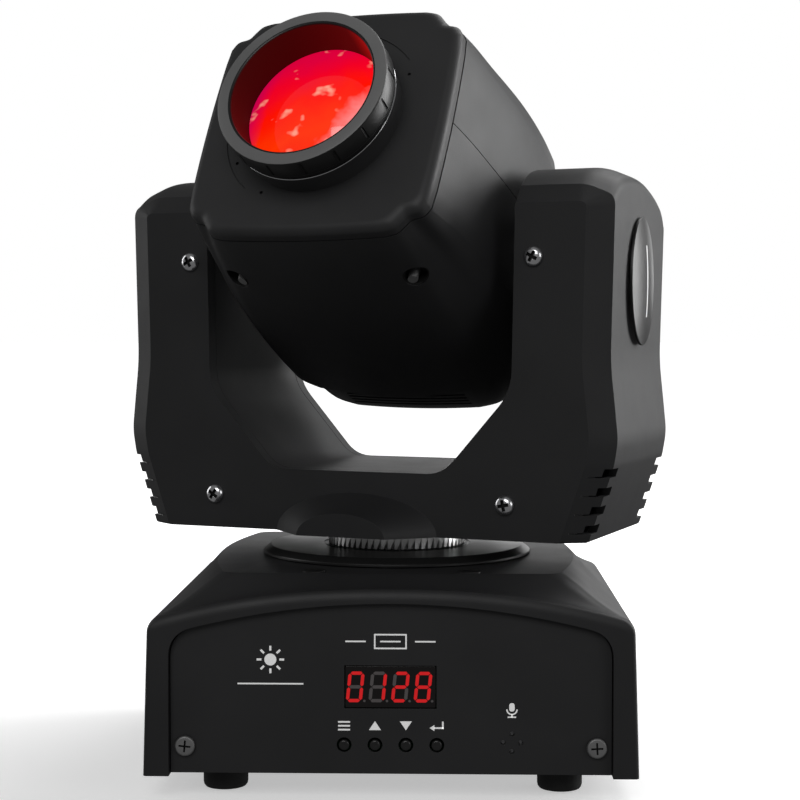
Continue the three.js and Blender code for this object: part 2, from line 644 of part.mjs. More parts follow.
// A half cone that swells out of the cover's lower edge over the pan drive.
function coverBoss(halfX, height, tipHalfX, tipHeight, floor, y0, y1) {
  const STEPS = 12;
  const bowl = (y, a, b) => {
    const points = [];
    for (let i = 0; i <= STEPS; i += 1) {
      const angle = Math.PI * i / STEPS;
      points.push([a * Math.cos(angle), y, floor + b * Math.sin(angle)]);
    }
    return points;
  };
  return lofted([bowl(y0, halfX, height), bowl(y1, tipHalfX, tipHeight)], inXZ);
}

// The front cover; the rear one is the same tray facing the other way.
function yokeCover(way) {
  const seam = SEAM_Y;
  const seamTop = way < 0 ? ARM_TOPS[0][1] : ARM_TOPS.at(-1)[1];
  const faceTop = seamTop - (ARM_TOPS[0][1] - COVER_TOP);
  const tray = lofted([
    yokeRing(way * seam, YOKE_CHAMFER, seamTop, OUTER_DROP, 0),
    yokeRing(way * YOKE_FACE_Y, 0, faceTop, 1, 0),
  ], inXZ);
  const hollow = lofted([
    yokeRing(way * (seam - 1), YOKE_CHAMFER, seamTop, OUTER_DROP, COVER_WALL),
    yokeRing(way * (YOKE_FACE_Y - COVER_WALL), 2.6, faceTop, 1, COVER_WALL),
  ], inXZ);
  const reach = YOKE_FACE_Y + BOSS.reach;
  const boss = coverBoss(BOSS.halfX, BOSS.height, BOSS.tipHalfX, BOSS.tipHeight, YOKE_BOTTOM,
    way * (YOKE_FACE_Y - 0.5), way * reach);
  const bossHollow = coverBoss(BOSS.halfX - 0.5, BOSS.height - COVER_WALL, BOSS.tipHalfX - BOSS.wall,
    BOSS.tipHeight - BOSS.wall, YOKE_BOTTOM - 0.1 + COVER_WALL, way * (seam - 1), way * (reach - COVER_WALL));
  const holes = COVER_SCREWS.flatMap(([x, z]) => [-1, 1].map(
    (side) => rod('y', 1.8, way < 0 ? -45 : 30, way < 0 ? -30 : 45, side * x, z, 8)));
  return cut(join(tray, boss), hollow, bossHollow, ...holes, ...sideNotches());
}

function coverScrew() {
  const head = -YOKE_FACE_Y - 0.15;
  return turned('y', [[0, head - 2.1], [1.6, head - 1.9], [COVER_SCREW_HEAD - 0.6, head - 1.2],
    [COVER_SCREW_HEAD, head - 0.3], [COVER_SCREW_HEAD, head], [1.4, head], [1.4, head + 10], [0, head + 10]], 10);
}

// The steel bracket: a floor over the pan gear, a hub into its bearing, two side flanges.
const BRACKET = { x: 62.4, halfY: 18, top: 206 };

function yokeBracket() {
  const floor = box(-BRACKET.x - SHEET, BRACKET.x + SHEET, -BRACKET.halfY, BRACKET.halfY,
    bracketBottom, bracketBottom + SHEET);
  const flanges = [-1, 1].map((side) => {
    const x = side * (BRACKET.x + SHEET / 2);
    return box(x - SHEET / 2, x + SHEET / 2, -BRACKET.halfY, BRACKET.halfY, bracketBottom, BRACKET.top);
  });
  const hub = rod('z', 12, gearBottom + 4.4, bracketBottom + 0.5, 0, 0, FINE);
  const bore = rod('z', 10, 70, 100, 0, 0, FINE);
  const motorHole = rod('z', 3, 88, 98, PAN_MOTOR_X, 0, 16);
  const shaftHoles = rod('x', 8.3, -70, 70, 0, TILT_AXIS_Z);
  const motorNotch = box(-BRACKET.x - 3, -BRACKET.x + 1, -14.6, 14.6, bracketBottom + SHEET, 114);
  return cut(join(floor, ...flanges, hub), bore, motorHole, shaftHoles, motorNotch);
}

const tiltMotorZ = TILT_AXIS_Z - TILT_MOTOR_DROP;

function tiltMotor() {
  const can = rod('x', 13.5, 72.2, 87.5, 0, tiltMotorZ, FINE);
  const shaft = rod('x', 1.5, 65.8, 73, 0, tiltMotorZ, 12);
  const legs = [-1, 1].map((side) => rod('x', 1.8, BRACKET.x + SHEET + GAP, 73, side * 10, tiltMotorZ, 12));
  return join(can, shaft, ...legs);
}

function tiltBelt() {
  const shape = beltShape(TILT_TEETH, TILT_MOTOR_DROP);
  const geometry = new THREE.ExtrudeGeometry(shape, { depth: 3.6, bevelEnabled: false });
  geometry.rotateZ(-Math.PI / 2);
  geometry.applyMatrix4(new THREE.Matrix4().set(0, 0, 1, 66.5, 1, 0, 0, 0, 0, 1, 0, TILT_AXIS_Z, 0, 0, 0, 1));
  return solid(geometry);
}

const BEARING = { outer: 8, inner: 4.3, from: 58.6, to: 65.2 };

function tiltBearing(side) {
  const { outer, inner, from, to } = BEARING;
  const [low, high] = side > 0 ? [from, to] : [-to, -from];
  return ring('x', outer, inner, low, high, COARSE).translate([0, 0, TILT_AXIS_Z]);
}

// The oval plate on an arm's outer side, slightly domed.
function armBadge(side) {
  const ovalAt = (x, scale) => {
    const points = [];
    for (let i = 0; i < FINE; i += 1) {
      const angle = 2 * Math.PI * i / FINE;
      const [y, z] = [scale * BADGE.halfY * Math.cos(angle), scale * BADGE.halfZ * Math.sin(angle)];
      points.push([side * x, y, BADGE.z + z]);
    }
    return points;
  };
  const { foot, thick } = BADGE;
  return lofted([ovalAt(foot, 1), ovalAt(foot + thick * 0.6, 1), ovalAt(foot + thick * 0.85, 0.93),
    ovalAt(foot + thick, 0.7)], ([, y, z]) => [y, z]);
}

// ---------------------------------------------------------------- head
// A section across the beam. notch blends the corners from round (0) to stepped (1).
function headSection(w, halfX, halfZ, notch) {
  const corner = [[14.5, 0], [10.6, 1.1], [8.2, 3.6], [6.2, 6], [2.3, 7.3], [0.3, 10.4]];
  const softCorner = [[21, 0], [14, 2], [9.4, 5.6], [5.6, 9.4], [2, 14], [0, 21]];
  const BOW = 0.9;
  const quarter = corner.map(([x, z], i) => [
    halfX - notch * x - (1 - notch) * softCorner[i][0],
    halfZ - notch * z - (1 - notch) * softCorner[i][1]]);
  const upperRight = [[0, halfZ + BOW], ...quarter, [halfX + BOW, 0]];
  const lowerRight = quarter.map(([x, z]) => [x, -z]).reverse();
  const upperLeft = quarter.map(([x, z]) => [-x, z]).reverse();
  const lowerLeft = quarter.map(([x, z]) => [-x, -z]);
  const around = [...upperRight, ...lowerRight, [0, -halfZ - BOW],
    ...lowerLeft, [-halfX - BOW, 0], ...upperLeft];
  return around.map(([x, z]) => [x, -w, z]);
}

const SHELL_SECTIONS = [           // [distance along the beam, half width, half height, notch]
  [SHELL_FRONT, 44.2, 43.4, 1], [58, 45.9, 45, 0.8], [46, 48, 47, 0.5], [22, 51.2, 50.6, 0.15],
  [0, 52.4, 52.4, 0], [-22, 51.6, 53, 0], [-42, 50.6, 52.6, 0],
];
const CAP_SECTIONS = [
  [-10, 48.6, 50.2, 0], [-38, 48, 50, 0], [-51, 45.6, 48, 0],
  [-REAR_END + 1.5, 39, 41, 0], [-REAR_END, 37, 39, 0],
];

const hollowOf = (sections, wall) => sections.map(([w, x, z, notch], i) => {
  const shift = i === 0 ? 2 : 0;
  return headSection(w + shift, x - wall, z - wall, notch);
});

// Everything behind the shells' rear edge, or behind a line the given distance from it.
function behindArc(offset) {
  const shape = new THREE.Shape();
  const STEPS = 16;
  shape.moveTo(-70, 90);
  shape.lineTo(-70, ARC_SIDE + offset);
  for (let i = 0; i <= STEPS; i += 1) {
    const x = -54 + 108 * i / STEPS;
    shape.lineTo(x, ARC_SIDE + offset + (ARC_MIDDLE - ARC_SIDE) * (1 - (x / 54) ** 2));
  }
  shape.lineTo(70, ARC_SIDE + offset);
  shape.lineTo(70, 90);
  return extrudedZ(shape, -70, 70);
}

function headShell(upper) {
  const outer = lofted(SHELL_SECTIONS.map((s) => headSection(...s)), inXZ);
  const inner = lofted(hollowOf(SHELL_SECTIONS, HEAD_WALL), inXZ);
  const tail = lofted(hollowOf([...SHELL_SECTIONS.slice(-2, -1), [-60, 50, 51, 0]], HEAD_WALL), inXZ);
  const half = upper ? box(-80, 80, -90, 90, GAP / 2, 90) : box(-80, 80, -90, 90, -90, -GAP / 2);
  const shaftHoles = rod('x', 6, -70, 70, 0, 0);
  const shell = cut(outer, inner, tail, behindArc(0), shaftHoles);
  const pockets = upper ? [] : [-1, 1].map(
    (side) => rod('z', POCKET.radius, -60, -47, side * POCKET.x, -POCKET.w, 16));
  return cut(shell.intersect(half), ...pockets);
}

function rearCap() {
  const outer = lofted(CAP_SECTIONS.map((s) => headSection(...s)), inXZ);
  const [, endX, endZ, endNotch] = CAP_SECTIONS.at(-2);
  const innerSections = [...CAP_SECTIONS.slice(0, -2), [-REAR_END + HEAD_WALL, endX, endZ, endNotch]];
  const inner = lofted(hollowOf(innerSections, HEAD_WALL), inXZ);
  const ahead = behindArc(GAP);
  const vents = [];
  for (let i = 0; i < VENTS.count; i += 1) {
    const y = VENTS.first + VENTS.pitch * i;
    vents.push(box(-VENTS.halfX, VENTS.halfX, y, y + VENTS.slot, -60, -40));
    vents.push(box(-VENTS.halfX, VENTS.halfX, y, y + VENTS.slot, 40, 60));
  }
  for (let i = -3; i <= 3; i += 1) {
    const z = GRILLE.pitch * i;
    const half = Math.sqrt(GRILLE.radius ** 2 - z ** 2);
    vents.push(box(-half, half, REAR_END - 5, REAR_END + 5, z - GRILLE.slot / 2, z + GRILLE.slot / 2));
  }
  return cut(outer.intersect(ahead), inner, ...vents);
}

function frontBezel() {
  const { halfX, halfZ, rim } = BEZEL;
  const section = (w, inset) => headSection(w, halfX - inset, halfZ - inset, 1);
  const plate = lofted([
    section(BEZEL_BACK, 0),
    section(BEZEL_FRONT - rim, 0),
    section(BEZEL_FRONT - rim * 0.3, rim * 0.3),
    section(BEZEL_FRONT, rim),
  ], inXZ);
  const pocket = lofted([
    section(BEZEL_BACK - 1, HEAD_WALL),
    section(BEZEL_FRONT - HEAD_WALL, HEAD_WALL + rim / 2),
  ], inXZ);
  const tube = ring('beam', 28.6, 27, BEZEL_FRONT - 1, 80.2);
  const hole = rod('y', 27, -BEZEL_FRONT - 1, -BEZEL_BACK + 2, 0, 0, FINE);
  return join(cut(plate, pocket, hole), tube);
}

function focusRing() {
  const body = turned('beam', [
    [23, 71], [26.6, 71], [26.6, 80.6], [29.4, 80.6], [29.4, 82.4], [RING_RADIUS, 82.8],
    [RING_RADIUS, RING_FRONT - 0.6], [RING_RADIUS - 0.6, RING_FRONT], [RING_BORE, RING_FRONT],
    [RING_BORE, 74], [23, 74], [23, 71],
  ], FINE);
  const NOTCH_COUNT = 16;
  const notches = [];
  for (let i = 0; i < NOTCH_COUNT; i += 1) {
    const angle = 2 * Math.PI * (i + 0.5) / NOTCH_COUNT;
    const reach = RING_RADIUS + 0.4;
    notches.push(rod('y', 0.9, -RING_FRONT + 1.6, -83.4, reach * Math.cos(angle), reach * Math.sin(angle), 4));
  }
  return cut(body, ...notches);
}

function frontLens() {
  const { radius, back, rim, dome } = LENS;
  const profile = [[0, back], [radius, back], [radius, back + rim]];
  const STEPS = 5;
  for (let i = 1; i <= STEPS; i += 1) {
    const share = 1 - i / STEPS;
    profile.push([radius * share, back + rim + dome * (1 - share ** 2)]);
  }
  return turned('beam', profile);
}

function headBracket() {
  const plateW = 22;
  const cross = box(-FLANGE_X - SHEET, FLANGE_X + SHEET, -plateW - SHEET, -plateW, -24, 30);
  const flanges = [-1, 1].map((side) => {
    const x = side * (FLANGE_X + SHEET / 2);
    return box(x - SHEET / 2, x + SHEET / 2, -plateW - SHEET, 12, -16, 16);
  });
  const lightHole = rod('y', 11, -30, -15, 0, 0, FINE);
  const shaftHoles = rod('x', 2.7, -60, 60, 0, 0, 16);
  return cut(join(cross, ...flanges), lightHole, shaftHoles);
}

// A hollow shaft with a flange that bolts to the outside of the head bracket.
function tiltShaft(side) {
  const inner = FLANGE_X + SHEET + GAP;
  const length = side > 0 ? 73.5 : 69;
  const profile = [[2.4, inner], [11, inner], [11, inner + 1.8], [4, inner + 1.8], [4, length], [2.4, length],
    [2.4, inner]];
  const shaft = turned('x', profile, COARSE);
  return side > 0 ? shaft : shaft.mirror([1, 0, 0]);
}

const tiltPulley = () => cut(extrudedX(toothedOutline(TILT_TEETH), 66, 71), rod('x', 4.3, 60, 75, 0, 0));

function ledModule() {
  const board = rod('y', 20, 17, 18.6, 0, 0, FINE);
  const optic = turned('beam', [[0, -17.3], [7, -17.3], [10.5, -5], [0, -5]], COARSE);
  return join(board, optic);
}

function heatSink() {
  const base = box(-30, 30, 18.9, 24, -30, 30);
  const fins = [];
  for (let i = 0; i <= 10; i += 1) {
    const x = -29 + 5.8 * i;
    fins.push(box(x - 0.9, x + 0.9, 23.5, 43.6, -30, 30));
  }
  return join(base, ...fins);
}

const FAN = { halfSide: 25, from: 44, to: 56, bore: 23.6 };

function fanFrame() {
  const body = box(-FAN.halfSide, FAN.halfSide, FAN.from, FAN.to, -FAN.halfSide, FAN.halfSide);
  const bore = rod('y', FAN.bore, FAN.from - 1, FAN.to - 2, 0, 0, FINE);
  const mouth = rod('y', FAN.bore, FAN.to - 3, FAN.to + 1, 0, 0, FINE);
  const outlet = cut(mouth, rod('y', 9, FAN.to - 4, FAN.to + 2, 0, 0));
  const spoke = box(-1.5, 1.5, FAN.to - 2, FAN.to, 0, FAN.bore + 0.5);
  const spokes = [0, 1, 2].map((i) => spoke.rotate([0, 120 * i, 0]));
  return join(cut(body, bore, outlet), ...spokes);
}

function fanRotor() {
  const hub = rod('y', 9, FAN.from + 1, FAN.to - 2.5, 0, 0);
  const blades = [];
  for (let i = 0; i < 7; i += 1) {
    const blade = box(7, 22.6, -4.2, 4.2, -0.6, 0.6).rotate([38, 0, 0]);
    blades.push(blade.translate([0, (FAN.from + FAN.to) / 2 - 0.8, 0]).rotate([0, 360 * i / 7, 0]));
  }
  return join(hub, ...blades);
}

function filterWheel(w, centreX) {
  const disc = rod('y', WHEEL.radius, -w - WHEEL.thick / 2, -w + WHEEL.thick / 2, centreX, WHEEL_OFFSET, FINE);
  const holes = [rod('y', 1.9, -w - 2, -w + 2, centreX, WHEEL_OFFSET, 12)];
  const start = Math.atan2(-WHEEL_OFFSET, -centreX);
  for (let i = 0; i < WHEEL.holes; i += 1) {
    const angle = start + 2 * Math.PI * i / WHEEL.holes;
    const [x, z] = [centreX + WHEEL.pitch * Math.cos(angle), WHEEL_OFFSET + WHEEL.pitch * Math.sin(angle)];
    holes.push(rod('y', WHEEL.hole, -w - 2, -w + 2, x, z, 10));
  }
  return cut(disc, ...holes);
}

// A small stepper with its shaft through the wheel beside it; ends are distances along the beam.
function wheelMotor(centreX, bodyFrom, bodyTo, shaftFrom, shaftTo) {
  const can = rod('y', 8.8, -bodyTo, -bodyFrom, centreX, WHEEL_OFFSET);
  const shaft = rod('y', 1.5, -shaftTo, -shaftFrom, centreX, WHEEL_OFFSET, 12);
  return join(can, shaft);
}

// ---------------------------------------------------------------- assembly
place(baseGroup, 'base_cover', baseCover(), BLACK_PLASTIC);
place(baseGroup, 'base_plate', basePlate(), STEEL);
const CORNERS = [['front_left', -1, -1], ['front_right', 1, -1], ['rear_left', -1, 1], ['rear_right', 1, 1]];
for (const [name, x, y] of CORNERS) {
  place(baseGroup, `foot_${name}`, foot().translate([x * FOOT_X, y * FOOT_Y, 0]), RUBBER);
}
place(baseGroup, 'control_panel', controlPanel(), BLACK_PLASTIC);
place(baseGroup, 'display_module', displayModule(), DISPLAY_RED);
place(baseGroup, 'control_board', controlBoard(), BOARD_GREEN);
place(baseGroup, 'microphone', microphone(), ZINC);
['menu', 'up', 'down', 'enter'].forEach((name, i) => {
  place(baseGroup, `button_${name}`, button().translate([buttonX(i), 0, BUTTON_Z]), GLOSS_BLACK);
});
for (const [name, side] of [['left', -1], ['right', 1]]) {
  const screw = panelScrew().translate([side * PANEL_SCREW.x, 0, PANEL_SCREW.z]);
  place(baseGroup, `panel_screw_${name}`, screw, ZINC);
}
place(baseGroup, 'rear_panel', rearPanel(), BLACK_PLASTIC);
place(baseGroup, 'power_inlet', powerInlet(), GLOSS_BLACK);
place(baseGroup, 'signal_input', signalSocket(SOCKETS.input, true), ZINC);
place(baseGroup, 'signal_output', signalSocket(SOCKETS.output, false), ZINC);
place(baseGroup, 'power_supply', powerSupply(), BOARD_GREEN);
place(baseGroup, 'pan_collar', panCollar(), GLOSS_BLACK);
place(baseGroup, 'pan_gear', panGear(), GLOSS_BLACK);
place(baseGroup, 'pan_bearing', panBearing(), STEEL);

place(yokeGroup, 'yoke_housing', yokeHousing(), BLACK_PLASTIC);
place(yokeGroup, 'yoke_front_cover', yokeCover(-1), BLACK_PLASTIC);
place(yokeGroup, 'yoke_rear_cover', yokeCover(1), BLACK_PLASTIC);
place(yokeGroup, 'yoke_bracket', yokeBracket(), STEEL);
place(yokeGroup, 'pan_motor', panMotor(), STEEL);
place(yokeGroup, 'pan_belt', panBelt(), RUBBER);
place(yokeGroup, 'pan_pinion', pinion('z').translate([PAN_MOTOR_X, 0, 0]), ALUMINIUM);
place(yokeGroup, 'tilt_motor', tiltMotor(), STEEL);
place(yokeGroup, 'tilt_belt', tiltBelt(), RUBBER);
place(yokeGroup, 'tilt_pinion', pinion('x').translate([0, 0, tiltMotorZ]), ALUMINIUM);
for (const [name, side] of [['left', -1], ['right', 1]]) {
  place(yokeGroup, `tilt_bearing_${name}`, tiltBearing(side), STEEL);
  place(yokeGroup, `arm_badge_${name}`, armBadge(side), GLOSS_BLACK);
  COVER_SCREWS.forEach(([x, z], i) => {
    const row = i === 0 ? 'upper' : 'lower';
    place(yokeGroup, `cover_screw_${row}_${name}`, coverScrew().translate([side * x, 0, z]), CHROME);
  });
}

place(headGroup, 'tilt_shaft_left', tiltShaft(-1), STEEL);
place(headGroup, 'tilt_shaft_right', tiltShaft(1), STEEL);
place(headGroup, 'tilt_pulley', tiltPulley(), ALUMINIUM);
place(headGroup, 'head_bracket', headBracket(), STEEL);
place(headGroup, 'front_bezel', frontBezel(), BLACK_PLASTIC);
place(headGroup, 'upper_shell', headShell(true), BLACK_PLASTIC);
place(headGroup, 'lower_shell', headShell(false), BLACK_PLASTIC);
place(headGroup, 'rear_cap', rearCap(), BLACK_PLASTIC);
place(headGroup, 'focus_ring', focusRing(), GLOSS_BLACK);
place(headGroup, 'front_lens', frontLens(), LENS_RED);
place(headGroup, 'led_module', ledModule(), ALUMINIUM);
place(headGroup, 'heat_sink', heatSink(), ALUMINIUM);
place(headGroup, 'fan_frame', fanFrame(), BLACK_PLASTIC);
place(headGroup, 'fan_rotor', fanRotor(), BLACK_PLASTIC);
place(headGroup, 'colour_wheel', filterWheel(COLOUR_WHEEL_W, WHEEL_OFFSET), ALUMINIUM);
place(headGroup, 'colour_motor', wheelMotor(WHEEL_OFFSET, -16.6, 0.4, -1, 2.6), STEEL);
place(headGroup, 'gobo_wheel', filterWheel(GOBO_WHEEL_W, -WHEEL_OFFSET), STEEL);
place(headGroup, 'gobo_motor', wheelMotor(-WHEEL_OFFSET, 6.6, 21.7, 4.4, 7), STEEL);

const lamp = new THREE.Group();
lamp.position.y = PAN_AXIS_Y;
lamp.add(baseGroup, yokeGroup);
export default lamp;
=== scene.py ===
"""A small moving head light: the looks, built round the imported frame.

Lengths are in millimetres in three frames: the base's own, the yoke's and the head's. The yoke's
X runs along the tilt axis and its Z is up. The head's -Y points along the beam from the tilt axis.
Each piece's mesh is turned into metres when it is made.
"""
import json
import math

import bmesh
import bpy
from mathutils import Matrix, Vector


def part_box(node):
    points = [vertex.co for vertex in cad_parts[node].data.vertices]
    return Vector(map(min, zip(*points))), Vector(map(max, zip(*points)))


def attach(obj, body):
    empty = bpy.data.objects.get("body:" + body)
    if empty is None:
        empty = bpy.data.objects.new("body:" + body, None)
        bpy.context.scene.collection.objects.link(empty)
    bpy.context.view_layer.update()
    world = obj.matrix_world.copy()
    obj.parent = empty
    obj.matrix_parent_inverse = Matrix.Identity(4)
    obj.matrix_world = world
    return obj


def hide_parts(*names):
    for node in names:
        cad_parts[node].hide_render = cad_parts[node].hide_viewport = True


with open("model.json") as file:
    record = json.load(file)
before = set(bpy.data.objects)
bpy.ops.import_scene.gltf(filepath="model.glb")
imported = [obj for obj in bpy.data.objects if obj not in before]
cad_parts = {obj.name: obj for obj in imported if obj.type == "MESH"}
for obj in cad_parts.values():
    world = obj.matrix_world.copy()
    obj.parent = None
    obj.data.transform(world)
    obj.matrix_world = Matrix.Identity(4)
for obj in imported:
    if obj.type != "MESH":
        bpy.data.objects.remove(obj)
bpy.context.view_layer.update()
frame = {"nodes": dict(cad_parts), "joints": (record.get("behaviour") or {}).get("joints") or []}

MM = 0.001


# ---- frames
def joint(name):
    return next(j for j in frame["joints"] if j["name"] == name)


def frame_from(across, forward, origin):
    """A rigid frame with X along across and -Y along forward."""
    x = Vector(across).normalized()
    y = -Vector(forward).normalized()
    z = x.cross(y)
    matrix = Matrix((x, y, z)).transposed().to_4x4()
    matrix.translation = Vector(origin)
    return matrix


TILT_AT = Vector(joint("tilt")["pos_m"])
PAN_AT = Vector((TILT_AT.x, TILT_AT.y, 0))
ACROSS = -Vector(joint("tilt")["axis"])
UP = Vector((0, 0, 1))
BASE = Matrix.Translation(PAN_AT)
YOKE = frame_from(ACROSS, ACROSS.cross(UP), PAN_AT)
HEAD = frame_from(ACROSS, joint("focus_turn")["axis"], TILT_AT)
TILT_Z = TILT_AT.z / MM


def local_box(node, place=BASE):
    """Lowest and highest corners of a CAD node in a frame, in millimetres."""
    inverse = place.inverted()
    points = [inverse @ v.co / MM for v in frame["nodes"][node].data.vertices]
    return [Vector([pick(p[k] for p in points) for k in range(3)]) for pick in (min, max)]


def middle(low, high):
    return (low.x + high.x) / 2, (low.y + high.y) / 2, (low.z + high.z) / 2


# ---- mesh helpers
def work_object(points, faces):
    mesh = bpy.data.meshes.new("work")
    mesh.from_pydata([tuple(p) for p in points], [], faces)
    build = bmesh.new()
    build.from_mesh(mesh)
    bmesh.ops.remove_doubles(build, verts=build.verts, dist=1e-4)
    bmesh.ops.recalc_face_normals(build, faces=build.faces)
    build.to_mesh(mesh)
    build.free()
    made = bpy.data.objects.new("work", mesh)
    bpy.context.scene.collection.objects.link(made)
    return made


def bake(target):
    """Applies an object's modifiers to its mesh."""
    depsgraph = bpy.context.evaluated_depsgraph_get()
    mesh = bpy.data.meshes.new_from_object(target.evaluated_get(depsgraph))
    target.modifiers.clear()
    target.data = mesh


def merged(objects):
    """Several closed meshes in one object; they stay separate shells."""
    first = objects[0]
    build = bmesh.new()
    for item in objects:
        build.from_mesh(item.data)
    build.to_mesh(first.data)
    build.free()
    for item in objects[1:]:
        bpy.data.objects.remove(item)
    return first


def combine(target, tool, operation):
    modifier = target.modifiers.new("combine", "BOOLEAN")
    modifier.object = tool
    modifier.operation = operation
    modifier.solver = "EXACT"
    bake(target)
    bpy.data.objects.remove(tool)
    return target


def cut(target, *tools):
    for tool in tools:
        combine(target, tool, "DIFFERENCE")
    return target


def join(target, *others):
    for other in others:
        combine(target, other, "UNION")
    return target


def loft(rings):
    """A closed skin over rings with the same number of points, with flat end caps."""
    count = len(rings[0])
    points = [p for ring in rings for p in ring]
    faces = []
    for r in range(len(rings) - 1):
        for i in range(count):
            j = (i + 1) % count
            faces.append((r * count + i, r * count + j, (r + 1) * count + j, (r + 1) * count + i))
    faces.append(tuple(range(count))[::-1])
    last = (len(rings) - 1) * count
    faces.append(tuple(last + i for i in range(count)))
    return work_object(points, faces)


def placed(axis, a, b, level):
    """A point from its level along an axis and its places on the other two, in their order."""
    return {"x": (level, a, b), "y": (a, level, b), "z": (a, b, level)}[axis]


def prism(outline, axis, low, high):
    """An outline in the other two axes, in their order, extruded along one axis."""
    return loft([[placed(axis, a, b, level) for a, b in outline] for level in (low, high)])


def box(x0, x1, y0, y1, z0, z1):
    return prism([(x0, y0), (x1, y0), (x1, y1), (x0, y1)], "z", z0, z1)


def arc(start, end, steps):
    """The cosine and sine of evenly spaced angles, given in degrees."""
    turns = [math.radians(start + (end - start) * i / steps) for i in range(steps + 1)]
    return [(math.cos(turn), math.sin(turn)) for turn in turns]


def circle(radius, segments, a=0.0, b=0.0):
    return [(a + radius * cosine, b + radius * sine) for cosine, sine in arc(0, 360, segments)[:-1]]


def rod(axis, radius, low, high, a=0.0, b=0.0, segments=48):
    return prism(circle(radius, segments, a, b), axis, low, high)


def turned(axis, profile, segments=96, a=0.0, b=0.0):
    """A turned piece from (radius, height) pairs about an axis. Its ends are on the axis or meet."""
    points, rows = [], []
    for radius, height in profile:
        if radius < 1e-6:
            rows.append([len(points)] * segments)
            points.append(placed(axis, a, b, height))
            continue
        rows.append([len(points) + i for i in range(segments)])
        points += [placed(axis, a + u, b + v, height) for u, v in circle(radius, segments)]
    faces = []
    for lower, upper in zip(rows, rows[1:]):
        for i in range(segments):
            j = (i + 1) % segments
            corners = list(dict.fromkeys((lower[i], lower[j], upper[j], upper[i])))
            if len(corners) > 2:
                faces.append(tuple(corners))
    return work_object(points, faces)


def rounded(corners):
    """Corners as (x, y, trim, steps): each one with a trim is rounded from that far to each side."""
    path = []
    for i, (x, y, trim, steps) in enumerate(corners):
        if trim == 0:
            path.append((x, y))
            continue
        here = Vector((x, y))
        ends = []
        for other in (corners[i - 1], corners[(i + 1) % len(corners)]):
            away = Vector(other[:2]) - here
            ends.append(here + away * (trim / away.length))
        for s in range(steps + 1):
            t = s / steps
            point = (1 - t) ** 2 * ends[0] + 2 * t * (1 - t) * here + t * t * ends[1]
            path.append((point.x, point.y))
    return path


def rounded_box(x0, x1, z0, z1, trim, steps=6):
    return rounded([(x, z, trim, steps) for x, z in ((x0, z0), (x1, z0), (x1, z1), (x0, z1))])


def spline(points, steps):
    """A smooth curve through points of any dimension."""
    vectors = [Vector(p) for p in points]
    path = []
    for i in range(len(vectors) - 1):
        before = vectors[max(i - 1, 0)]
        start, end = vectors[i], vectors[i + 1]
        after = vectors[min(i + 2, len(vectors) - 1)]
        for s in range(steps):
            t = s / steps
            bend = (2 * start + (end - before) * t + (2 * before - 5 * start + 4 * end - after) * t * t
                    + (3 * start - before - 3 * end + after) * t ** 3) / 2
            path.append(bend)
    path.append(vectors[-1])
    return path


PLACES = {"yoke": YOKE, "head": HEAD, "focus": HEAD}      # every other body is drawn in the base's frame


def soften(made, width, segments, angle):
    """Bevels an object's edges that are sharper than an angle."""
    modifier = made.modifiers.new("edges", "BEVEL")
    modifier.width = width * MM
    modifier.segments = segments
    modifier.limit_method = "ANGLE"
    modifier.angle_limit = math.radians(angle)
    return modifier


def finished(made, name, body, material, bevel=0.3, angle=32, replaces=()):
    """Turns a work object into a named piece: metres, softened edges, material and body."""
    mesh = made.data
    mesh.transform(Matrix.Scale(MM, 4))
    mesh.name = name
    made.name = name
    made.matrix_world = PLACES.get(body, BASE)
    mesh.materials.clear()
    mesh.materials.append(material)
    mesh.shade_smooth()
    mesh.set_sharp_from_angle(angle=math.radians(angle))
    if bevel:
        modifier = soften(made, bevel, 3, angle)
        modifier.harden_normals = True
        modifier.use_clamp_overlap = True
    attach(made, body)
    if replaces:
        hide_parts(*replaces)
    return made


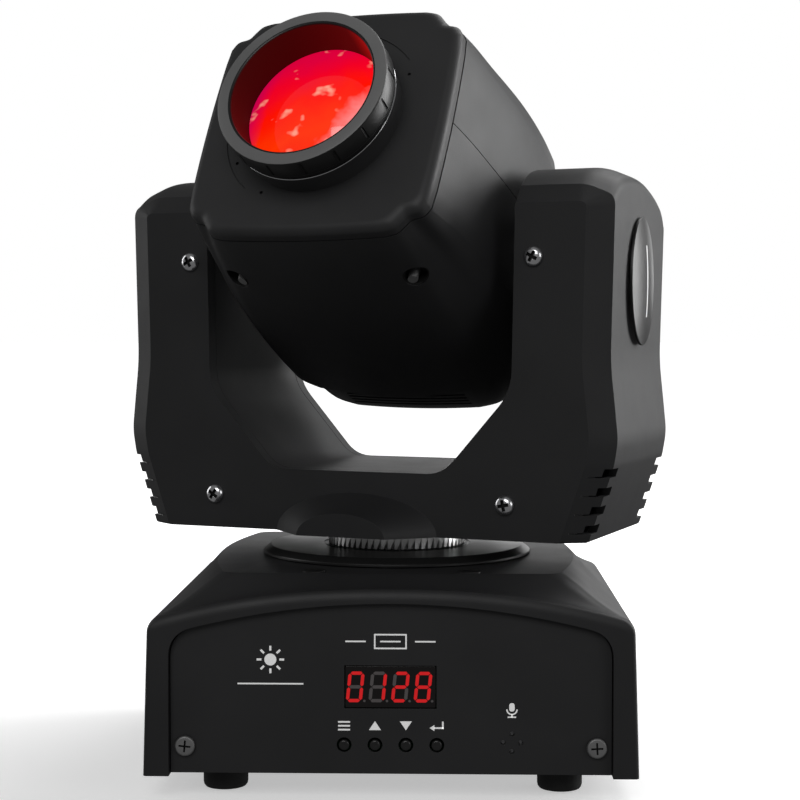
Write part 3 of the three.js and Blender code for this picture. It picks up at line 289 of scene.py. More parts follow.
# ---- materials
class Surface:
    """A node material with one Principled shader."""

    def __init__(self, name, base, roughness, **sockets):
        self.material = bpy.data.materials.new(name)
        self.material.use_nodes = True
        self.tree = self.material.node_tree
        self.shader = self.tree.nodes["Principled BSDF"]
        self.shader.inputs["Base Color"].default_value = (*base, 1)
        self.shader.inputs["Roughness"].default_value = roughness
        for socket, value in sockets.items():
            self.shader.inputs[socket.replace("_", " ")].default_value = value
        self.base = base
        self.place = self.tree.nodes.new("ShaderNodeTexCoord").outputs["Object"]

    def node(self, kind, **values):
        """A new node with its sockets and settings set by name, with _ for a space in a socket's name."""
        made = self.tree.nodes.new(kind)
        for key, value in values.items():
            socket = key.replace("_", " ")
            if socket in made.inputs:
                made.inputs[socket].default_value = value
            else:
                setattr(made, key, value)
        return made

    def link(self, source, target):
        self.tree.links.new(source, target)

    def noise(self, scale, detail=3.0, roughness=0.5, stretch=None):
        texture = self.node("ShaderNodeTexNoise", Scale=scale, Detail=detail, Roughness=roughness)
        source = self.place
        if stretch:
            mapping = self.node("ShaderNodeMapping", Scale=stretch)
            self.link(source, mapping.inputs["Vector"])
            source = mapping.outputs["Vector"]
        self.link(source, texture.inputs["Vector"])
        return texture.outputs["Fac"]

    def ramp(self, source, stops):
        node = self.node("ShaderNodeValToRGB")
        while len(node.color_ramp.elements) < len(stops):
            node.color_ramp.elements.new(0.5)
        for element, (at, colour) in zip(node.color_ramp.elements, stops):
            element.position = at
            element.color = (*colour, 1)
        self.link(source, node.inputs["Fac"])
        return node.outputs["Color"]

    def vary_colour(self, source, spread):
        """Lightens and darkens the base colour a little from place to place."""
        dark = tuple(c * (1 - spread) for c in self.base)
        light = tuple(c * (1 + spread) for c in self.base)
        self.link(self.ramp(source, [(0.3, dark), (0.7, light)]), self.shader.inputs["Base Color"])

    def rescale(self, source, **limits):
        spread = self.node("ShaderNodeMapRange", **limits)
        self.link(source, spread.inputs["Value"])
        return spread.outputs["Result"]

    def weigh(self, source, weight, rest):
        """The source times a weight, plus a number or another source."""
        sum_node = self.node("ShaderNodeMath", operation="MULTIPLY_ADD")
        self.link(source, sum_node.inputs[0])
        sum_node.inputs[1].default_value = weight
        if isinstance(rest, (int, float)):
            sum_node.inputs[2].default_value = rest
        else:
            self.link(rest, sum_node.inputs[2])
        return sum_node.outputs["Value"]

    def vary_roughness(self, source, low, high):
        self.link(self.rescale(source, To_Min=low, To_Max=high), self.shader.inputs["Roughness"])

    def glow(self, colour, strength):
        self.link(colour, self.shader.inputs["Emission Color"])
        self.shader.inputs["Emission Strength"].default_value = strength

    def bump(self, source, depth_mm):
        bump = self.node("ShaderNodeBump", Strength=1.0, Distance=depth_mm * MM)
        self.link(source, bump.inputs["Height"])
        self.link(bump.outputs["Normal"], self.shader.inputs["Normal"])


GRAIN = 2600            # repeats of the moulded grain to a metre
SMUDGE = 28             # broad patches of slightly different gloss


def moulded_plastic(name, base=(0.021, 0.021, 0.022), roughness=0.5, grain=0.03):
    surface = Surface(name, base, roughness, Specular_IOR_Level=0.42)
    surface.vary_colour(surface.noise(SMUDGE, 4), 0.12)
    surface.vary_roughness(surface.noise(SMUDGE * 3, 5), roughness - 0.05, roughness + 0.06)
    surface.bump(surface.noise(GRAIN, 2, 0.6), grain)
    return surface.material


def polished_plastic(name, base=(0.008, 0.008, 0.009), roughness=0.16):
    surface = Surface(name, base, roughness, Coat_Weight=0.4, Coat_Roughness=0.08)
    surface.vary_roughness(surface.noise(90, 6), roughness - 0.04, roughness + 0.08)
    surface.bump(surface.noise(500, 2), 0.004)
    return surface.material


def rubber(name):
    surface = Surface(name, (0.012, 0.012, 0.012), 0.75)
    surface.vary_colour(surface.noise(120, 4), 0.25)
    surface.bump(surface.noise(1800, 3), 0.06)
    return surface.material


def metal(name, base, roughness, stretch=(1, 1, 1), scale=900, depth=0.006):
    surface = Surface(name, base, roughness, Metallic=1.0)
    surface.vary_colour(surface.noise(60, 4), 0.07)
    grain = surface.noise(scale, 4, 0.6, stretch)
    surface.vary_roughness(grain, roughness * 0.75, roughness * 1.35)
    surface.bump(grain, depth)
    return surface.material


def circuit_board(name):
    surface = Surface(name, (0.012, 0.09, 0.035), 0.35, Coat_Weight=0.3)
    tracks = surface.noise(260, 1, 0.2, (1, 4, 1))
    surface.link(surface.ramp(tracks, [(0.48, (0.01, 0.07, 0.03)), (0.52, (0.03, 0.16, 0.06))]),
                 surface.shader.inputs["Base Color"])
    surface.bump(tracks, 0.03)
    return surface.material


def print_ink_with_painted_glow(name):
    # White print with a faint glow of its own: the glow is painted light that brightens it, as print is no
    # lamp.
    surface = Surface(name, (0.9, 0.9, 0.89), 0.55, Emission_Color=(1, 1, 1, 1), Emission_Strength=0.25)
    surface.vary_colour(surface.noise(1500, 3), 0.06)
    surface.bump(surface.noise(2500, 2), 0.01)
    return surface.material


def glowing(name, base, colour, strength):
    surface = Surface(name, base, 0.3)
    dim = tuple(c * 0.88 for c in colour)
    surface.glow(surface.ramp(surface.noise(700, 2), [(0.3, dim), (0.7, colour)]), strength)
    surface.vary_colour(surface.noise(400, 3), 0.1)
    return surface.material


PLASTIC = moulded_plastic("moulded_black")
PANEL = moulded_plastic("panel_black", (0.024, 0.024, 0.025), 0.5, 0.02)
BEZEL = moulded_plastic("bezel_black", (0.034, 0.034, 0.035), 0.5)
RING_FACE = moulded_plastic("ring_face_grey", (0.2, 0.2, 0.2), 0.45, 0.015)
GLOSS = polished_plastic("polished_black")
SMOOTH = polished_plastic("smooth_black", (0.012, 0.012, 0.012), 0.28)
SATIN = moulded_plastic("satin_black", (0.012, 0.012, 0.012), 0.34, 0.01)
RUBBER = rubber("black_rubber")
CHROME = metal("bright_chrome", (0.86, 0.86, 0.88), 0.2, scale=400, depth=0.002)
ZINC = metal("zinc_plate", (0.36, 0.36, 0.37), 0.34)
# Near black for hollows: painted shade in the screws' cross recesses and in the shell pockets.
RECESS_PAINTED_SHADE = moulded_plastic("painted_shade_recess", (0.004, 0.004, 0.004), 0.7, 0.01)
DULL_ZINC = metal("dull_zinc_plate", (0.3, 0.3, 0.3), 0.55)
STEEL = metal("plain_steel", (0.42, 0.42, 0.44), 0.36, (1, 1, 12))
ALUMINIUM = metal("plain_aluminium", (0.62, 0.63, 0.65), 0.33, (1, 12, 1))
TOOTHED = metal("machined_ring", (0.72, 0.72, 0.72), 0.3, (1, 1, 10))
BRASS = metal("contact_brass", (0.7, 0.5, 0.22), 0.25)
BOARD = circuit_board("circuit_board")
INK_WITH_PAINTED_GLOW = print_ink_with_painted_glow("white_print_painted_glow")
LIT = glowing("segment_lit", (0.2, 0.004, 0.004), (0.5, 0.009, 0.011), 1.0)
# The unlit segments glow faintly grey: painted light, as they are no lamps.
UNLIT_PAINTED_GLOW = glowing("segment_dim_painted_glow", (0.06, 0.055, 0.055), (0.05, 0.045, 0.045), 0.6)
WINDOW = polished_plastic("display_window", (0.004, 0.002, 0.002), 0.12)


# ---- base
cover_low, cover_high = local_box("base_cover")
panel_low, panel_high = local_box("control_panel")
HALF_X = cover_high.x
HALF_Y = cover_high.y
BASE_BOTTOM = cover_low.z
PLATEAU_Z = cover_high.z
SHOULDER_X = HALF_X - 1.4
SHOULDER_Z = 61.3
CROWN_Z = 71.2
PLATEAU_X = 58
PLATEAU_Y = 60.8
PLATEAU_BULGE = 7
OPENING_X = 73.8
OPENING_TOP = 66.7
PANEL_FRONT = panel_low.y
PANEL_THICK = panel_high.y - panel_low.y
PANEL_BOTTOM = panel_low.z
PANEL_GAP = 0.3
PANEL_CORNER = 8
PANEL_ARCH = 0.0019                # fall of the panel's arch, times the distance squared
BASE_ARCH = 2.3                    # power of the cover's front arch
EDGE_CORNER = 1.4                  # the base's upright corners
SHOULDER_RADIUS = 4.6
SHOULDER_TURN = 62                 # degrees
BASE_WALL = 2.5
PAD_X = 26.5
PAD_Y = -56.5
SIDES = (("left", -1), ("right", 1))


def base_ring(half_x, half_y, bulge, side_z, crown_z, corner):
    """Points round the base: arched front and back, bowed sides, rounded corners."""
    front_steps, side_steps, corner_steps = 40, 16, 5
    points = []
    for way in (1, -1):
        inner = half_x - corner
        for i in range(front_steps + 1):
            x = inner * (2 * i / front_steps - 1)
            rise = 1 - (abs(x) / half_x) ** BASE_ARCH
            points.append((way * x, -way * half_y, side_z + (crown_z - side_z) * rise))
        edge = points[-1][2]
        for i in range(1, corner_steps):
            turn = math.pi / 2 * i / corner_steps
            x = inner + corner * math.sin(turn)
            y = half_y - corner * (1 - math.cos(turn))
            points.append((way * x, -way * y, edge + (side_z - edge) * i / corner_steps))
        for i in range(side_steps + 1):
            t = 2 * i / side_steps - 1
            y = t * (half_y - corner)
            points.append((way * (half_x + bulge * (1 - t * t)), way * y, side_z))
        for i in range(1, corner_steps):
            turn = math.pi / 2 * i / corner_steps
            x = half_x - corner * (1 - math.cos(turn))
            y = half_y - corner + corner * math.sin(turn)
            points.append((way * x, way * y, side_z + (edge - side_z) * i / corner_steps))
    return points


def panel_outline(inset, bottom):
    """The arched outline of the end panels and of the openings they stand in."""
    half_x = OPENING_X - inset
    arch_half = half_x - PANEL_CORNER - 1

    def arch(x):
        return OPENING_TOP - inset - PANEL_ARCH * x * x

    steps = 40
    places = [arch_half * (1 - 2 * i / steps) for i in range(steps + 1)]
    crown = [(x, arch(x), 0, 1) for x in places]
    return rounded([(-half_x, bottom, 0, 1), (half_x, bottom, 0, 1), (half_x, arch(half_x), PANEL_CORNER, 10),
                    *crown, (-half_x, arch(half_x), PANEL_CORNER, 10)])


def base_cover():
    """Upright walls, a rounded shoulder, and a slightly hollow slope up to the flat top."""
    foot_z, crown_z = SHOULDER_Z - SHOULDER_RADIUS, CROWN_Z - SHOULDER_RADIUS + 1
    rings = [base_ring(HALF_X, HALF_Y, 0, BASE_BOTTOM, BASE_BOTTOM, EDGE_CORNER),
             base_ring(SHOULDER_X, HALF_Y, 0, foot_z, crown_z, EDGE_CORNER)]
    full_rise = math.sin(math.radians(SHOULDER_TURN))
    for cosine, sine in arc(0, SHOULDER_TURN, 7)[1:]:
        back = SHOULDER_RADIUS * (1 - cosine)
        rise = SHOULDER_RADIUS * sine / full_rise
        rings.append(base_ring(SHOULDER_X - back, HALF_Y - back * 0.7, 0, foot_z + rise, crown_z + rise * 0.8,
                               EDGE_CORNER + back))
    start = rings[-1]
    top = base_ring(PLATEAU_X, PLATEAU_Y, PLATEAU_BULGE, PLATEAU_Z, PLATEAU_Z, 6)
    hollow, steps = 1.6, 14
    for i in range(1, steps + 1):
        t = i / steps
        sag = hollow * math.sin(math.pi * t) * (1 - t)
        rings.append([(a[0] + (b[0] - a[0]) * t, a[1] + (b[1] - a[1]) * t, a[2] + (b[2] - a[2]) * t - sag)
                      for a, b in zip(start, top)])
    under = BASE_BOTTOM - 1
    roof = PLATEAU_Z - BASE_WALL
    inner = loft([base_ring(HALF_X - BASE_WALL, HALF_Y - 6, 0, under, under, EDGE_CORNER),
                  base_ring(SHOULDER_X - BASE_WALL, HALF_Y - 6, 0, SHOULDER_Z - 6, CROWN_Z - 5, EDGE_CORNER),
                  base_ring(PLATEAU_X - 4, PLATEAU_Y - 6, PLATEAU_BULGE, roof, roof, 4)])
    seat_depth = HALF_Y + PANEL_FRONT + PANEL_THICK + 2 * PANEL_GAP
    tools = [inner]
    for side in (-1, 1):
        for inset, depth in ((0, seat_depth), (3, 7)):
            near, far = sorted((side * (HALF_Y + 1), side * (HALF_Y - depth)))
            tools.append(prism(panel_outline(inset, BASE_BOTTOM - 2), "y", near, far))
    tools.append(rod("z", 14, PLATEAU_Z - 10, PLATEAU_Z + 10))
    shell = cut(loft(rings), *tools)
    finished(shell, "base_cover_shell", "base", PLASTIC, 0.7, 24, ["base_cover"])


def plateau_pads():
    """Two low round pads moulded on the plateau's front edge."""
    shape = [(0, -0.3), (3.9, -0.3), (3.9, 0.3), (3.5, 0.55), (0, 0.6)]
    profile = [(radius, PLATEAU_Z + z) for radius, z in shape]
    pads = [turned("z", profile, 48, side * PAD_X, PAD_Y) for _, side in SIDES]
    finished(merged(pads), "plateau_pads", "base", SMOOTH, 0)


BUTTONS = ("menu", "up", "down", "enter")
BUTTON_Z = 19
BUTTON_X = [(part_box(f"button_{n}")[0].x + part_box(f"button_{n}")[1].x) / 2 / MM for n in BUTTONS]
SCREW_X = 68.6
SCREW_Z = 18.5
MIC_X = 40.4
MIC_Z = 20
MIC_RING = 2.9
MIC_HOLE = 0.85
KEY_HOLE = 2.45
MOUNT_HOLE = 1.9
DISPLAY_GAP = 0.3


def panel_tools(front, back):
    """The mounting holes both end panels have."""
    return [rod("y", MOUNT_HOLE, front - 1, back + 1, side * SCREW_X, SCREW_Z) for _, side in SIDES]


def control_panel():
    front, back = PANEL_FRONT, PANEL_FRONT + PANEL_THICK
    low, high = local_box("display_module")
    sheet = prism(panel_outline(PANEL_GAP, PANEL_BOTTOM), "y", front, back)
    holes = panel_tools(front, back)
    for x in BUTTON_X:
        holes.append(rod("y", KEY_HOLE, front - 1, back + 1, x, BUTTON_Z))
    for cosine, sine in arc(0, 270, 3):
        x, z = MIC_X + MIC_RING * cosine, MIC_Z + MIC_RING * sine
        holes.append(rod("y", MIC_HOLE, front - 1, back + 1, x, z, 24))
    gap = DISPLAY_GAP
    holes.append(box(low.x - gap, high.x + gap, front - 1, back + 1, low.z - gap, high.z + gap))
    sheet = cut(sheet, merged(holes))
    finished(sheet, "control_panel_plate", "base", PANEL, 0.25, 32, ["control_panel"])


def flat_shapes(outlines, name, material, front, back):
    """Flat shapes of one thickness in one piece, such as printing."""
    finished(merged([prism(outline, "y", front, back) for outline in outlines]), name, "base", material, 0)


def bar(x0, z0, x1, z1, width):
    """A straight stroke between two points."""
    along = Vector((x1 - x0, z1 - z0)).normalized() * width / 2
    side = Vector((-along.y, along.x))
    start, end = Vector((x0, z0)), Vector((x1, z1))
    return [tuple(p) for p in (start - side, end - side, end + side, start + side)]


def screen_sign(x, z, half_x, half_z, dash_end):
    """A framed screen with a line on it and a dash at each side."""
    width = 0.5
    half = width / 2
    strokes = [bar(x - half_x - half, z + dz, x + half_x + half, z + dz, width) for dz in (-half_z, half_z)]
    strokes += [bar(x + dx, z - half_z + half, x + dx, z + half_z - half, width) for dx in (-half_x, half_x)]
    dash = half_x + 3
    for start, end in ((-3.4, 3.4), (-dash_end, -dash), (dash, dash_end)):
        strokes.append(bar(x + start, z, x + end, z, width))
    return strokes


def lamp_sign(x, z):
    """A round lamp with rays, over a long line."""
    line_z = z - 8.1
    shapes = [circle(2, 32, x, z), bar(x - 11, line_z, x + 11, line_z, 0.5)]
    for cosine, sine in arc(0, 315, 7):
        shapes.append(bar(x + 3 * cosine, z + 3 * sine, x + 4.6 * cosine, z + 4.6 * sine, 0.7))
    return shapes


def key_signs(z):
    """A list, an arrow up, an arrow down and a return arrow."""
    menu, up, down, enter = BUTTON_X
    shapes = [bar(menu - 2, level, menu + 2, level, 0.55) for level in (z + 0.1, z + 1.4, z + 2.7)]
    shapes += [[(up - 2, z), (up + 2, z), (up, z + 3)], [(down - 2, z + 3), (down, z), (down + 2, z + 3)]]
    tip, foot = enter - 2.4, z + 0.8
    shapes += [bar(enter + 2, z + 0.5, enter + 2, z + 3, 0.55)]
    shapes += [bar(enter - 0.9, foot, enter + 2.27, foot, 0.55)]
    return shapes + [[(tip, foot), (tip + 1.6, foot - 1), (tip + 1.6, foot + 1)]]


def microphone_sign(x, z):
    cup = [(x + 1.7 * cosine, z + 2.6 + 1.7 * sine) for cosine, sine in arc(180, 360, 12)]
    shapes = [rounded_box(x - 0.9, x + 0.9, z + 1.9, z + 4.7, 0.9)]
    shapes += [bar(*a, *b, 0.45) for a, b in zip(cup, cup[1:])]
    return shapes + [bar(x - 1.4, z, x + 1.4, z, 0.45), bar(x, z, x, z + 0.9, 0.45)]


def panel_print():
    """Plain signs in place of words."""
    shapes = screen_sign(0, 53.7, 5.2, 2.3, 15) + key_signs(24) + lamp_sign(-40, 47.5)
    shapes += microphone_sign(MIC_X, 28.6)
    flat_shapes(shapes, "panel_signs", INK_WITH_PAINTED_GLOW, PANEL_FRONT - 0.06, PANEL_FRONT + 0.05)


SEGMENTS = {"0": "abcdef", "1": "bc", "2": "abged", "8": "abcdefg"}
FIGURES = "0128"
DIGIT_WIDTH = 4.3
DIGIT_HEIGHT = 9.2
DIGIT_SLANT = 0.1
STROKE = 1.1
STROKE_GAP = 0.16


def digit_segments():
    """Each segment's two ends in a digit's own plane."""
    width, height, half = DIGIT_WIDTH, DIGIT_HEIGHT, DIGIT_HEIGHT / 2
    return {"a": ((0, height), (width, height)), "b": ((width, half), (width, height)),
            "c": ((width, 0), (width, half)), "d": ((0, 0), (width, 0)),
            "e": ((0, 0), (0, half)), "f": ((0, half), (0, height)), "g": ((0, half), (width, half))}


def segment_shape(start, end):
    """A stroke with a point at each end."""
    along = (Vector(end) - Vector(start)).normalized()
    side = Vector((-along.y, along.x)) * STROKE / 2
    a, b = Vector(start) + along * STROKE_GAP, Vector(end) - along * STROKE_GAP
    point = STROKE / 2
    return [tuple(p) for p in (a, a + along * point - side, b - along * point - side, b,
                               b - along * point + side, a + along * point + side)]


def display():
    low, high = local_box("display_module")
    front = low.y
    case = prism(rounded_box(low.x, high.x, low.z, high.z, 0.4, 3), "y", front, high.y)
    finished(case, "display_case", "base", WINDOW, 0.15, 32, ["display_module"])
    pitch = (high.x - low.x) / len(FIGURES)
    z0 = (low.z + high.z) / 2 - DIGIT_HEIGHT / 2
    lit, dim = [], []
    for place, figure in enumerate(FIGURES):
        x0 = low.x + pitch * (place + 0.5) - DIGIT_WIDTH / 2 - 0.9
        for key, (start, end) in digit_segments().items():
            target = lit if key in SEGMENTS[figure] else dim
            target.append([(x0 + x + DIGIT_SLANT * z, z0 + z) for x, z in segment_shape(start, end)])
        dim.append(circle(0.42, 16, x0 + DIGIT_WIDTH + 1.35, z0 - 0.1))
    flat_shapes(lit, "display_segments_lit", LIT, front - 0.05, front + 0.03)
    # The unlit segments and the dots take the faint painted glow.
    flat_shapes(dim, "display_segments_dim", UNLIT_PAINTED_GLOW, front - 0.05, front + 0.03)


def buttons():
    for name, x in zip(BUTTONS, BUTTON_X):
        low, high = local_box(f"button_{name}")
        front, back, radius = low.y, high.y, (high.x - low.x) / 2
        cap = turned("y", [(0, front + 0.12), (radius * 0.45, front + 0.06), (radius * 0.72, front),
                           (radius - 0.25, front + 0.1), (radius, front + 0.4), (radius, back), (0, back)],
                     64, x, BUTTON_Z)
        finished(cap, f"button_cap_{name}", f"{name}_button", SMOOTH, 0, 32,
                 [f"button_{name}"])


def cross_recess(front, depth, reach, width, x, z, turn):
    arms = []
    for quarter in (0, math.pi / 2):
        arm = box(-reach, reach, front - 1.5, front + depth, -width / 2, width / 2)
        arm.data.transform(Matrix.Translation((x, 0, z)) @ Matrix.Rotation(quarter + turn, 4, "Y"))
        arms.append(arm)
    return join(*arms)


SHANK_RADIUS = 1.4
SLOT_DEPTH = 1.4
PANEL_SCREW = {"crown": 0.8, "flat": 0.8, "slot_width": 0.6, "material": DULL_ZINC, "slot": "zinc"}
COVER_SCREW = {"crown": 1.9, "flat": 0.3, "slot_width": 1.2, "material": CHROME, "slot": "chrome"}


def screw(node, name, body, turn, crown, flat, slot_width, material, slot):
    """A cross-recess screw: crown is its head's height, and flat is how much of the head is level."""
    low, high = local_box(node, PLACES.get(body, BASE))
    x, _, z = middle(low, high)
    radius = (high.x - low.x) / 2
    base = low.y + crown
    profile = [(0, low.y)]
    for cosine, sine in arc(0, 90, 12):
        profile.append((radius * (flat + (1 - flat) * sine), base - crown * cosine))
    profile += [(radius, base + 0.05), (SHANK_RADIUS, base + 0.05), (SHANK_RADIUS, high.y), (0, high.y)]
    reach = radius * 0.58
    made = cut(turned("y", profile, 64, x, z), cross_recess(low.y, SLOT_DEPTH, reach, slot_width, x, z, turn))
    finished(made, name, body, material, 0.06, 40, [node])
    # The cross recess's faces take the near black: painted shade in the cross.
    made.data.materials.append(RECESS_PAINTED_SHADE)
    for face in made.data.polygons:
        centre = face.center / MM
        if math.hypot(centre.x - x, centre.z - z) < reach + 0.1 and low.y + 0.25 < centre.y < high.y - 0.01:
            face.material_index = 1


def feet():
    for name in ("front_left", "front_right", "rear_left", "rear_right"):
        low, high = local_box(f"foot_{name}")
        x, y, _ = middle(low, high)
        radius = (high.x - low.x) / 2
        edge = [(4.2, 0.5), (4, 0), (1.6, 0), (0.7, 0.25), (0.2, 0.9), (0, 1.8), (0, high.z)]
        profile = [(0, 0.5)] + [(radius - inward, z) for inward, z in edge] + [(0, high.z)]
        finished(turned("z", profile, 96, x, y), f"foot_pad_{name}", "base", RUBBER, 0, 32,
                 [f"foot_{name}"])


# ---- rear panel
INLET_HALF_X = 12.6
INLET_HALF_Z = 16.6
FLANGE = 2.2
SOCKET_FACE = 4                    # how far a signal socket's barrel stands out past its flange's back
SOCKET_RADIUS = 11.2
SOCKET_BORE = 9.2


def rear_panel():
    low, high = local_box("rear_panel")
    front, back = low.y, high.y
    x, _, z = middle(*local_box("power_inlet"))
    sheet = prism(panel_outline(PANEL_GAP, PANEL_BOTTOM), "y", front, back)
    holes = panel_tools(front, back)
    holes.append(box(x - INLET_HALF_X - 0.4, x + INLET_HALF_X + 0.4, front - 1, back + 1,
                     z - INLET_HALF_Z - 0.4, z + INLET_HALF_Z + 0.4))
    for node in ("signal_input", "signal_output"):
        x, _, z = middle(*local_box(node))
        holes.append(rod("y", SOCKET_RADIUS + 0.4, front - 1, back + 1, x, z))
    sheet = cut(sheet, merged(holes))
    finished(sheet, "rear_panel_plate", "base", PANEL, 0.25, 32, ["rear_panel"])


def power_inlet():
    """A three-blade inlet under a flange, with a drawer under its mouth."""
    low, high = local_box("power_inlet")
    x, _, z = middle(low, high)
    face = high.y - FLANGE
    flange = prism(rounded_box(low.x, high.x, low.z, high.z, 3), "y", face, high.y)
    outline = rounded_box(x - INLET_HALF_X, x + INLET_HALF_X, z - INLET_HALF_Z, z + INLET_HALF_Z, 1.5)
    body = prism(outline, "y", low.y, face + 1)
    mouth_z = z + 5.5
    right = [(12, -8), (12, 3), (7, 8)]
    corners = [(-12, -8)] + right + [(-7, 8), (-12, 3)]
    mouth = prism(rounded([(x + dx, mouth_z + dz, 1, 3) for dx, dz in corners]), "y", face - 14, face + 5)
    drawer_edge = cut(box(x - 11, x + 11, face + 1.3, face + 5, z - 17.5, z - 6.5),
                      box(x - 10.2, x + 10.2, face, face + 6, z - 16.7, z - 7.3))
    thumb = box(x - 4, x + 4, face + 1.5, face + 5, z - 9, z - 7.4)
    made = cut(join(flange, body), mouth, drawer_edge, thumb)
    finished(made, "power_inlet_body", "base", GLOSS, 0.2, 32, ["power_inlet"])
    blades = []
    for dx, dz in ((-7, 0), (0, 3), (7, 0)):
        level = mouth_z + dz - 0.4
        outline = rounded_box(x + dx - 1, x + dx + 1, level - 2, level + 2, 0.4, 3)
        blades.append(prism(outline, "y", face - 15, face - 1))
    finished(merged(blades), "power_inlet_blades", "base", BRASS, 0.15)


def signal_socket(node, has_pins):
    """A round three-pole socket: one with pins, or one with an insert that has three holes."""
    low, high = local_box(node)
    x, _, z = middle(low, high)
    face = high.y - SOCKET_FACE
    flange = prism(rounded_box(low.x, high.x, low.z, high.z, 3), "y", face, face + 2)
    corners = [rod("y", 1.7, face - 1, face + 3, x + sx * 10, z + sz * 12.6) for sx, sz in ((-1, 1), (1, -1))]
    barrel = rod("y", SOCKET_RADIUS, low.y, high.y, x, z, 96)
    cavity = rod("y", SOCKET_BORE, face - 11, high.y + 1, x, z, 96)
    shell = cut(join(flange, barrel), cavity, merged(corners))
    poles = [(x + 3.5 * i, z + (-3 if i == 0 else 2)) for i in (-1, 0, 1)]
    if not has_pins:
        holes = merged([rod("y", 1.3, face - 8, face + 4, *pole) for pole in poles])
        shell = join(shell, cut(rod("y", 7.6, face - 12, face + 2, x, z, 96), holes))
    finished(shell, f"{node}_shell", "base", ZINC, 0.25, 32, [node])
    if has_pins:
        profile = [(0, face - 12), (1.2, face - 12), (1.2, face - 1.6), (0.7, face - 1), (0, face - 0.9)]
        pins = merged([turned("y", profile, 32, *pole) for pole in poles])
        finished(pins, f"{node}_pins", "base", BRASS, 0)


# ---- pan drive
DISC_BORE = 15.3


def pan_collar():
    """The disc on the base: a bevelled rim, and a shallow groove round the pulley."""
    low, high = local_box("pan_collar")
    foot, top = low.z, high.z
    rim = [(0.2, foot), (0, foot + 0.2), (0, foot + 0.8), (0.15, foot + 1.05), (2.6, top - 0.15), (2.9, top)]
    groove = [(27.6, top), (27.3, top - 0.25), (26.6, top - 0.25), (26.4, top)]
    profile = [(DISC_BORE, foot)] + [(high.x - inward, z) for inward, z in rim] + groove
    profile += [(DISC_BORE, top), (DISC_BORE, foot)]
    finished(turned("z", profile, 160), "pan_disc", "base", SATIN, 0, 20, ["pan_collar"])


PAN_TEETH = 64


def tooth_ring(radius, gap_share, depth, z):
    """One level of the toothed ring: flat tips with a tapering gap after each."""
    shape = [(0, 0), (1 - gap_share, 0), (1 - gap_share * 0.62, depth), (1 - gap_share * 0.38, depth)]
    points = []
    for i in range(PAN_TEETH):
        for part, inward in shape:
            turn = 2 * math.pi * (i + part) / PAN_TEETH
            points.append(((radius - inward) * math.cos(turn), (radius - inward) * math.sin(turn), z))
    return points


def pan_gear():
    """The pulley's gaps are open at the foot and narrow to fine scores up its side."""
    low, high = local_box("pan_gear")
    levels = [(low.z, 0.6, 0.9), (low.z + 0.8, 0.5, 0.9), (low.z + 3.4, 0.06, 0.1), (high.z, 0.06, 0.02)]
    blank = loft([tooth_ring(high.y, share, depth, z) for z, share, depth in levels])
    well = rod("z", 19.3, low.z + 5, high.z + 1, segments=96)
    bore = rod("z", 13.2, low.z - 1, high.z + 1)
    finished(cut(blank, well, bore), "pan_gear_ring", "base", TOOTHED, 0, 32, ["pan_gear"])


# ---- yoke
SEAM_Y = 32
YOKE_BOTTOM = local_box("yoke_housing", YOKE)[0].z
YOKE_FACE = 37.2
CHAMFER = 8.4
OUTER_DROP = 4.2
WINDOW_X = 58.1
WINDOW_CORNER_Z = 136.4
WINDOW_FLOOR_X = 33
WINDOW_FLOOR_Z = 107.4
ARM_TOPS = [                       # (distance behind the tilt axis, height)
    (-31.7, 206.2), (-24, 210.7), (-15, 212.8), (-4, 213.4), (8, 212.4), (20, 209.3), (28.5, 205.5),
    (31.7, 201),
]
COVER_WALL = 2.2
NOTCH_Z = [89.9 + 6.4 * i for i in range(4)]
NOTCH_HEIGHT = 3
NOTCH_DEPTH = 7                    # back from the seam into the housing
NOTCH_BITE = 1.5                   # and forward into the cover's edge


def yoke_outline(lateral, top, drop, inset):
    """The yoke's outline at one depth: wider by lateral, its arms up to top."""
    out = lateral - inset
    trim = min(3.2, 0.45 * math.hypot(1.7 + out - inset * 0.3, drop))
    right = [(75.4 + out, YOKE_BOTTOM + inset, 1, 4), (84.2 + out, 111.6, 1.4, 3), (85.6 + out, 120, 3.4, 5),
             (84.2 + out, 134, 6, 6), (82.9 + out, 146, 6, 6), (84.3 + out, top - drop - inset, trim, 6),
             (82.6 + inset * 0.3, top - inset, trim, 6), (WINDOW_X + 1.2 + inset, top - inset, 0.8, 3),
             (WINDOW_X + inset, WINDOW_CORNER_Z - inset * 0.4, 7, 6),
             (WINDOW_FLOOR_X + inset * 0.4, WINDOW_FLOOR_Z - inset, 6, 6)]
    left = [(-x, z, trim_, steps) for x, z, trim_, steps in right][::-1]
    return rounded(right + left)


def yoke_ring(y, *sizes):
    return [(x, y, z) for x, z in yoke_outline(*sizes)]


def side_notches():
    """The slots down both seams of each arm's lower end."""
    inner, outer = SEAM_Y - NOTCH_DEPTH, SEAM_Y + NOTCH_BITE
    slots = []
    for z in NOTCH_Z:
        for y0, y1 in ((-outer, -inner), (inner, outer)):
            for x0, x1 in ((74, 100), (-100, -74)):
                slots.append(box(x0, x1, y0, y1, z - NOTCH_HEIGHT / 2, z + NOTCH_HEIGHT / 2))
    return merged(slots)


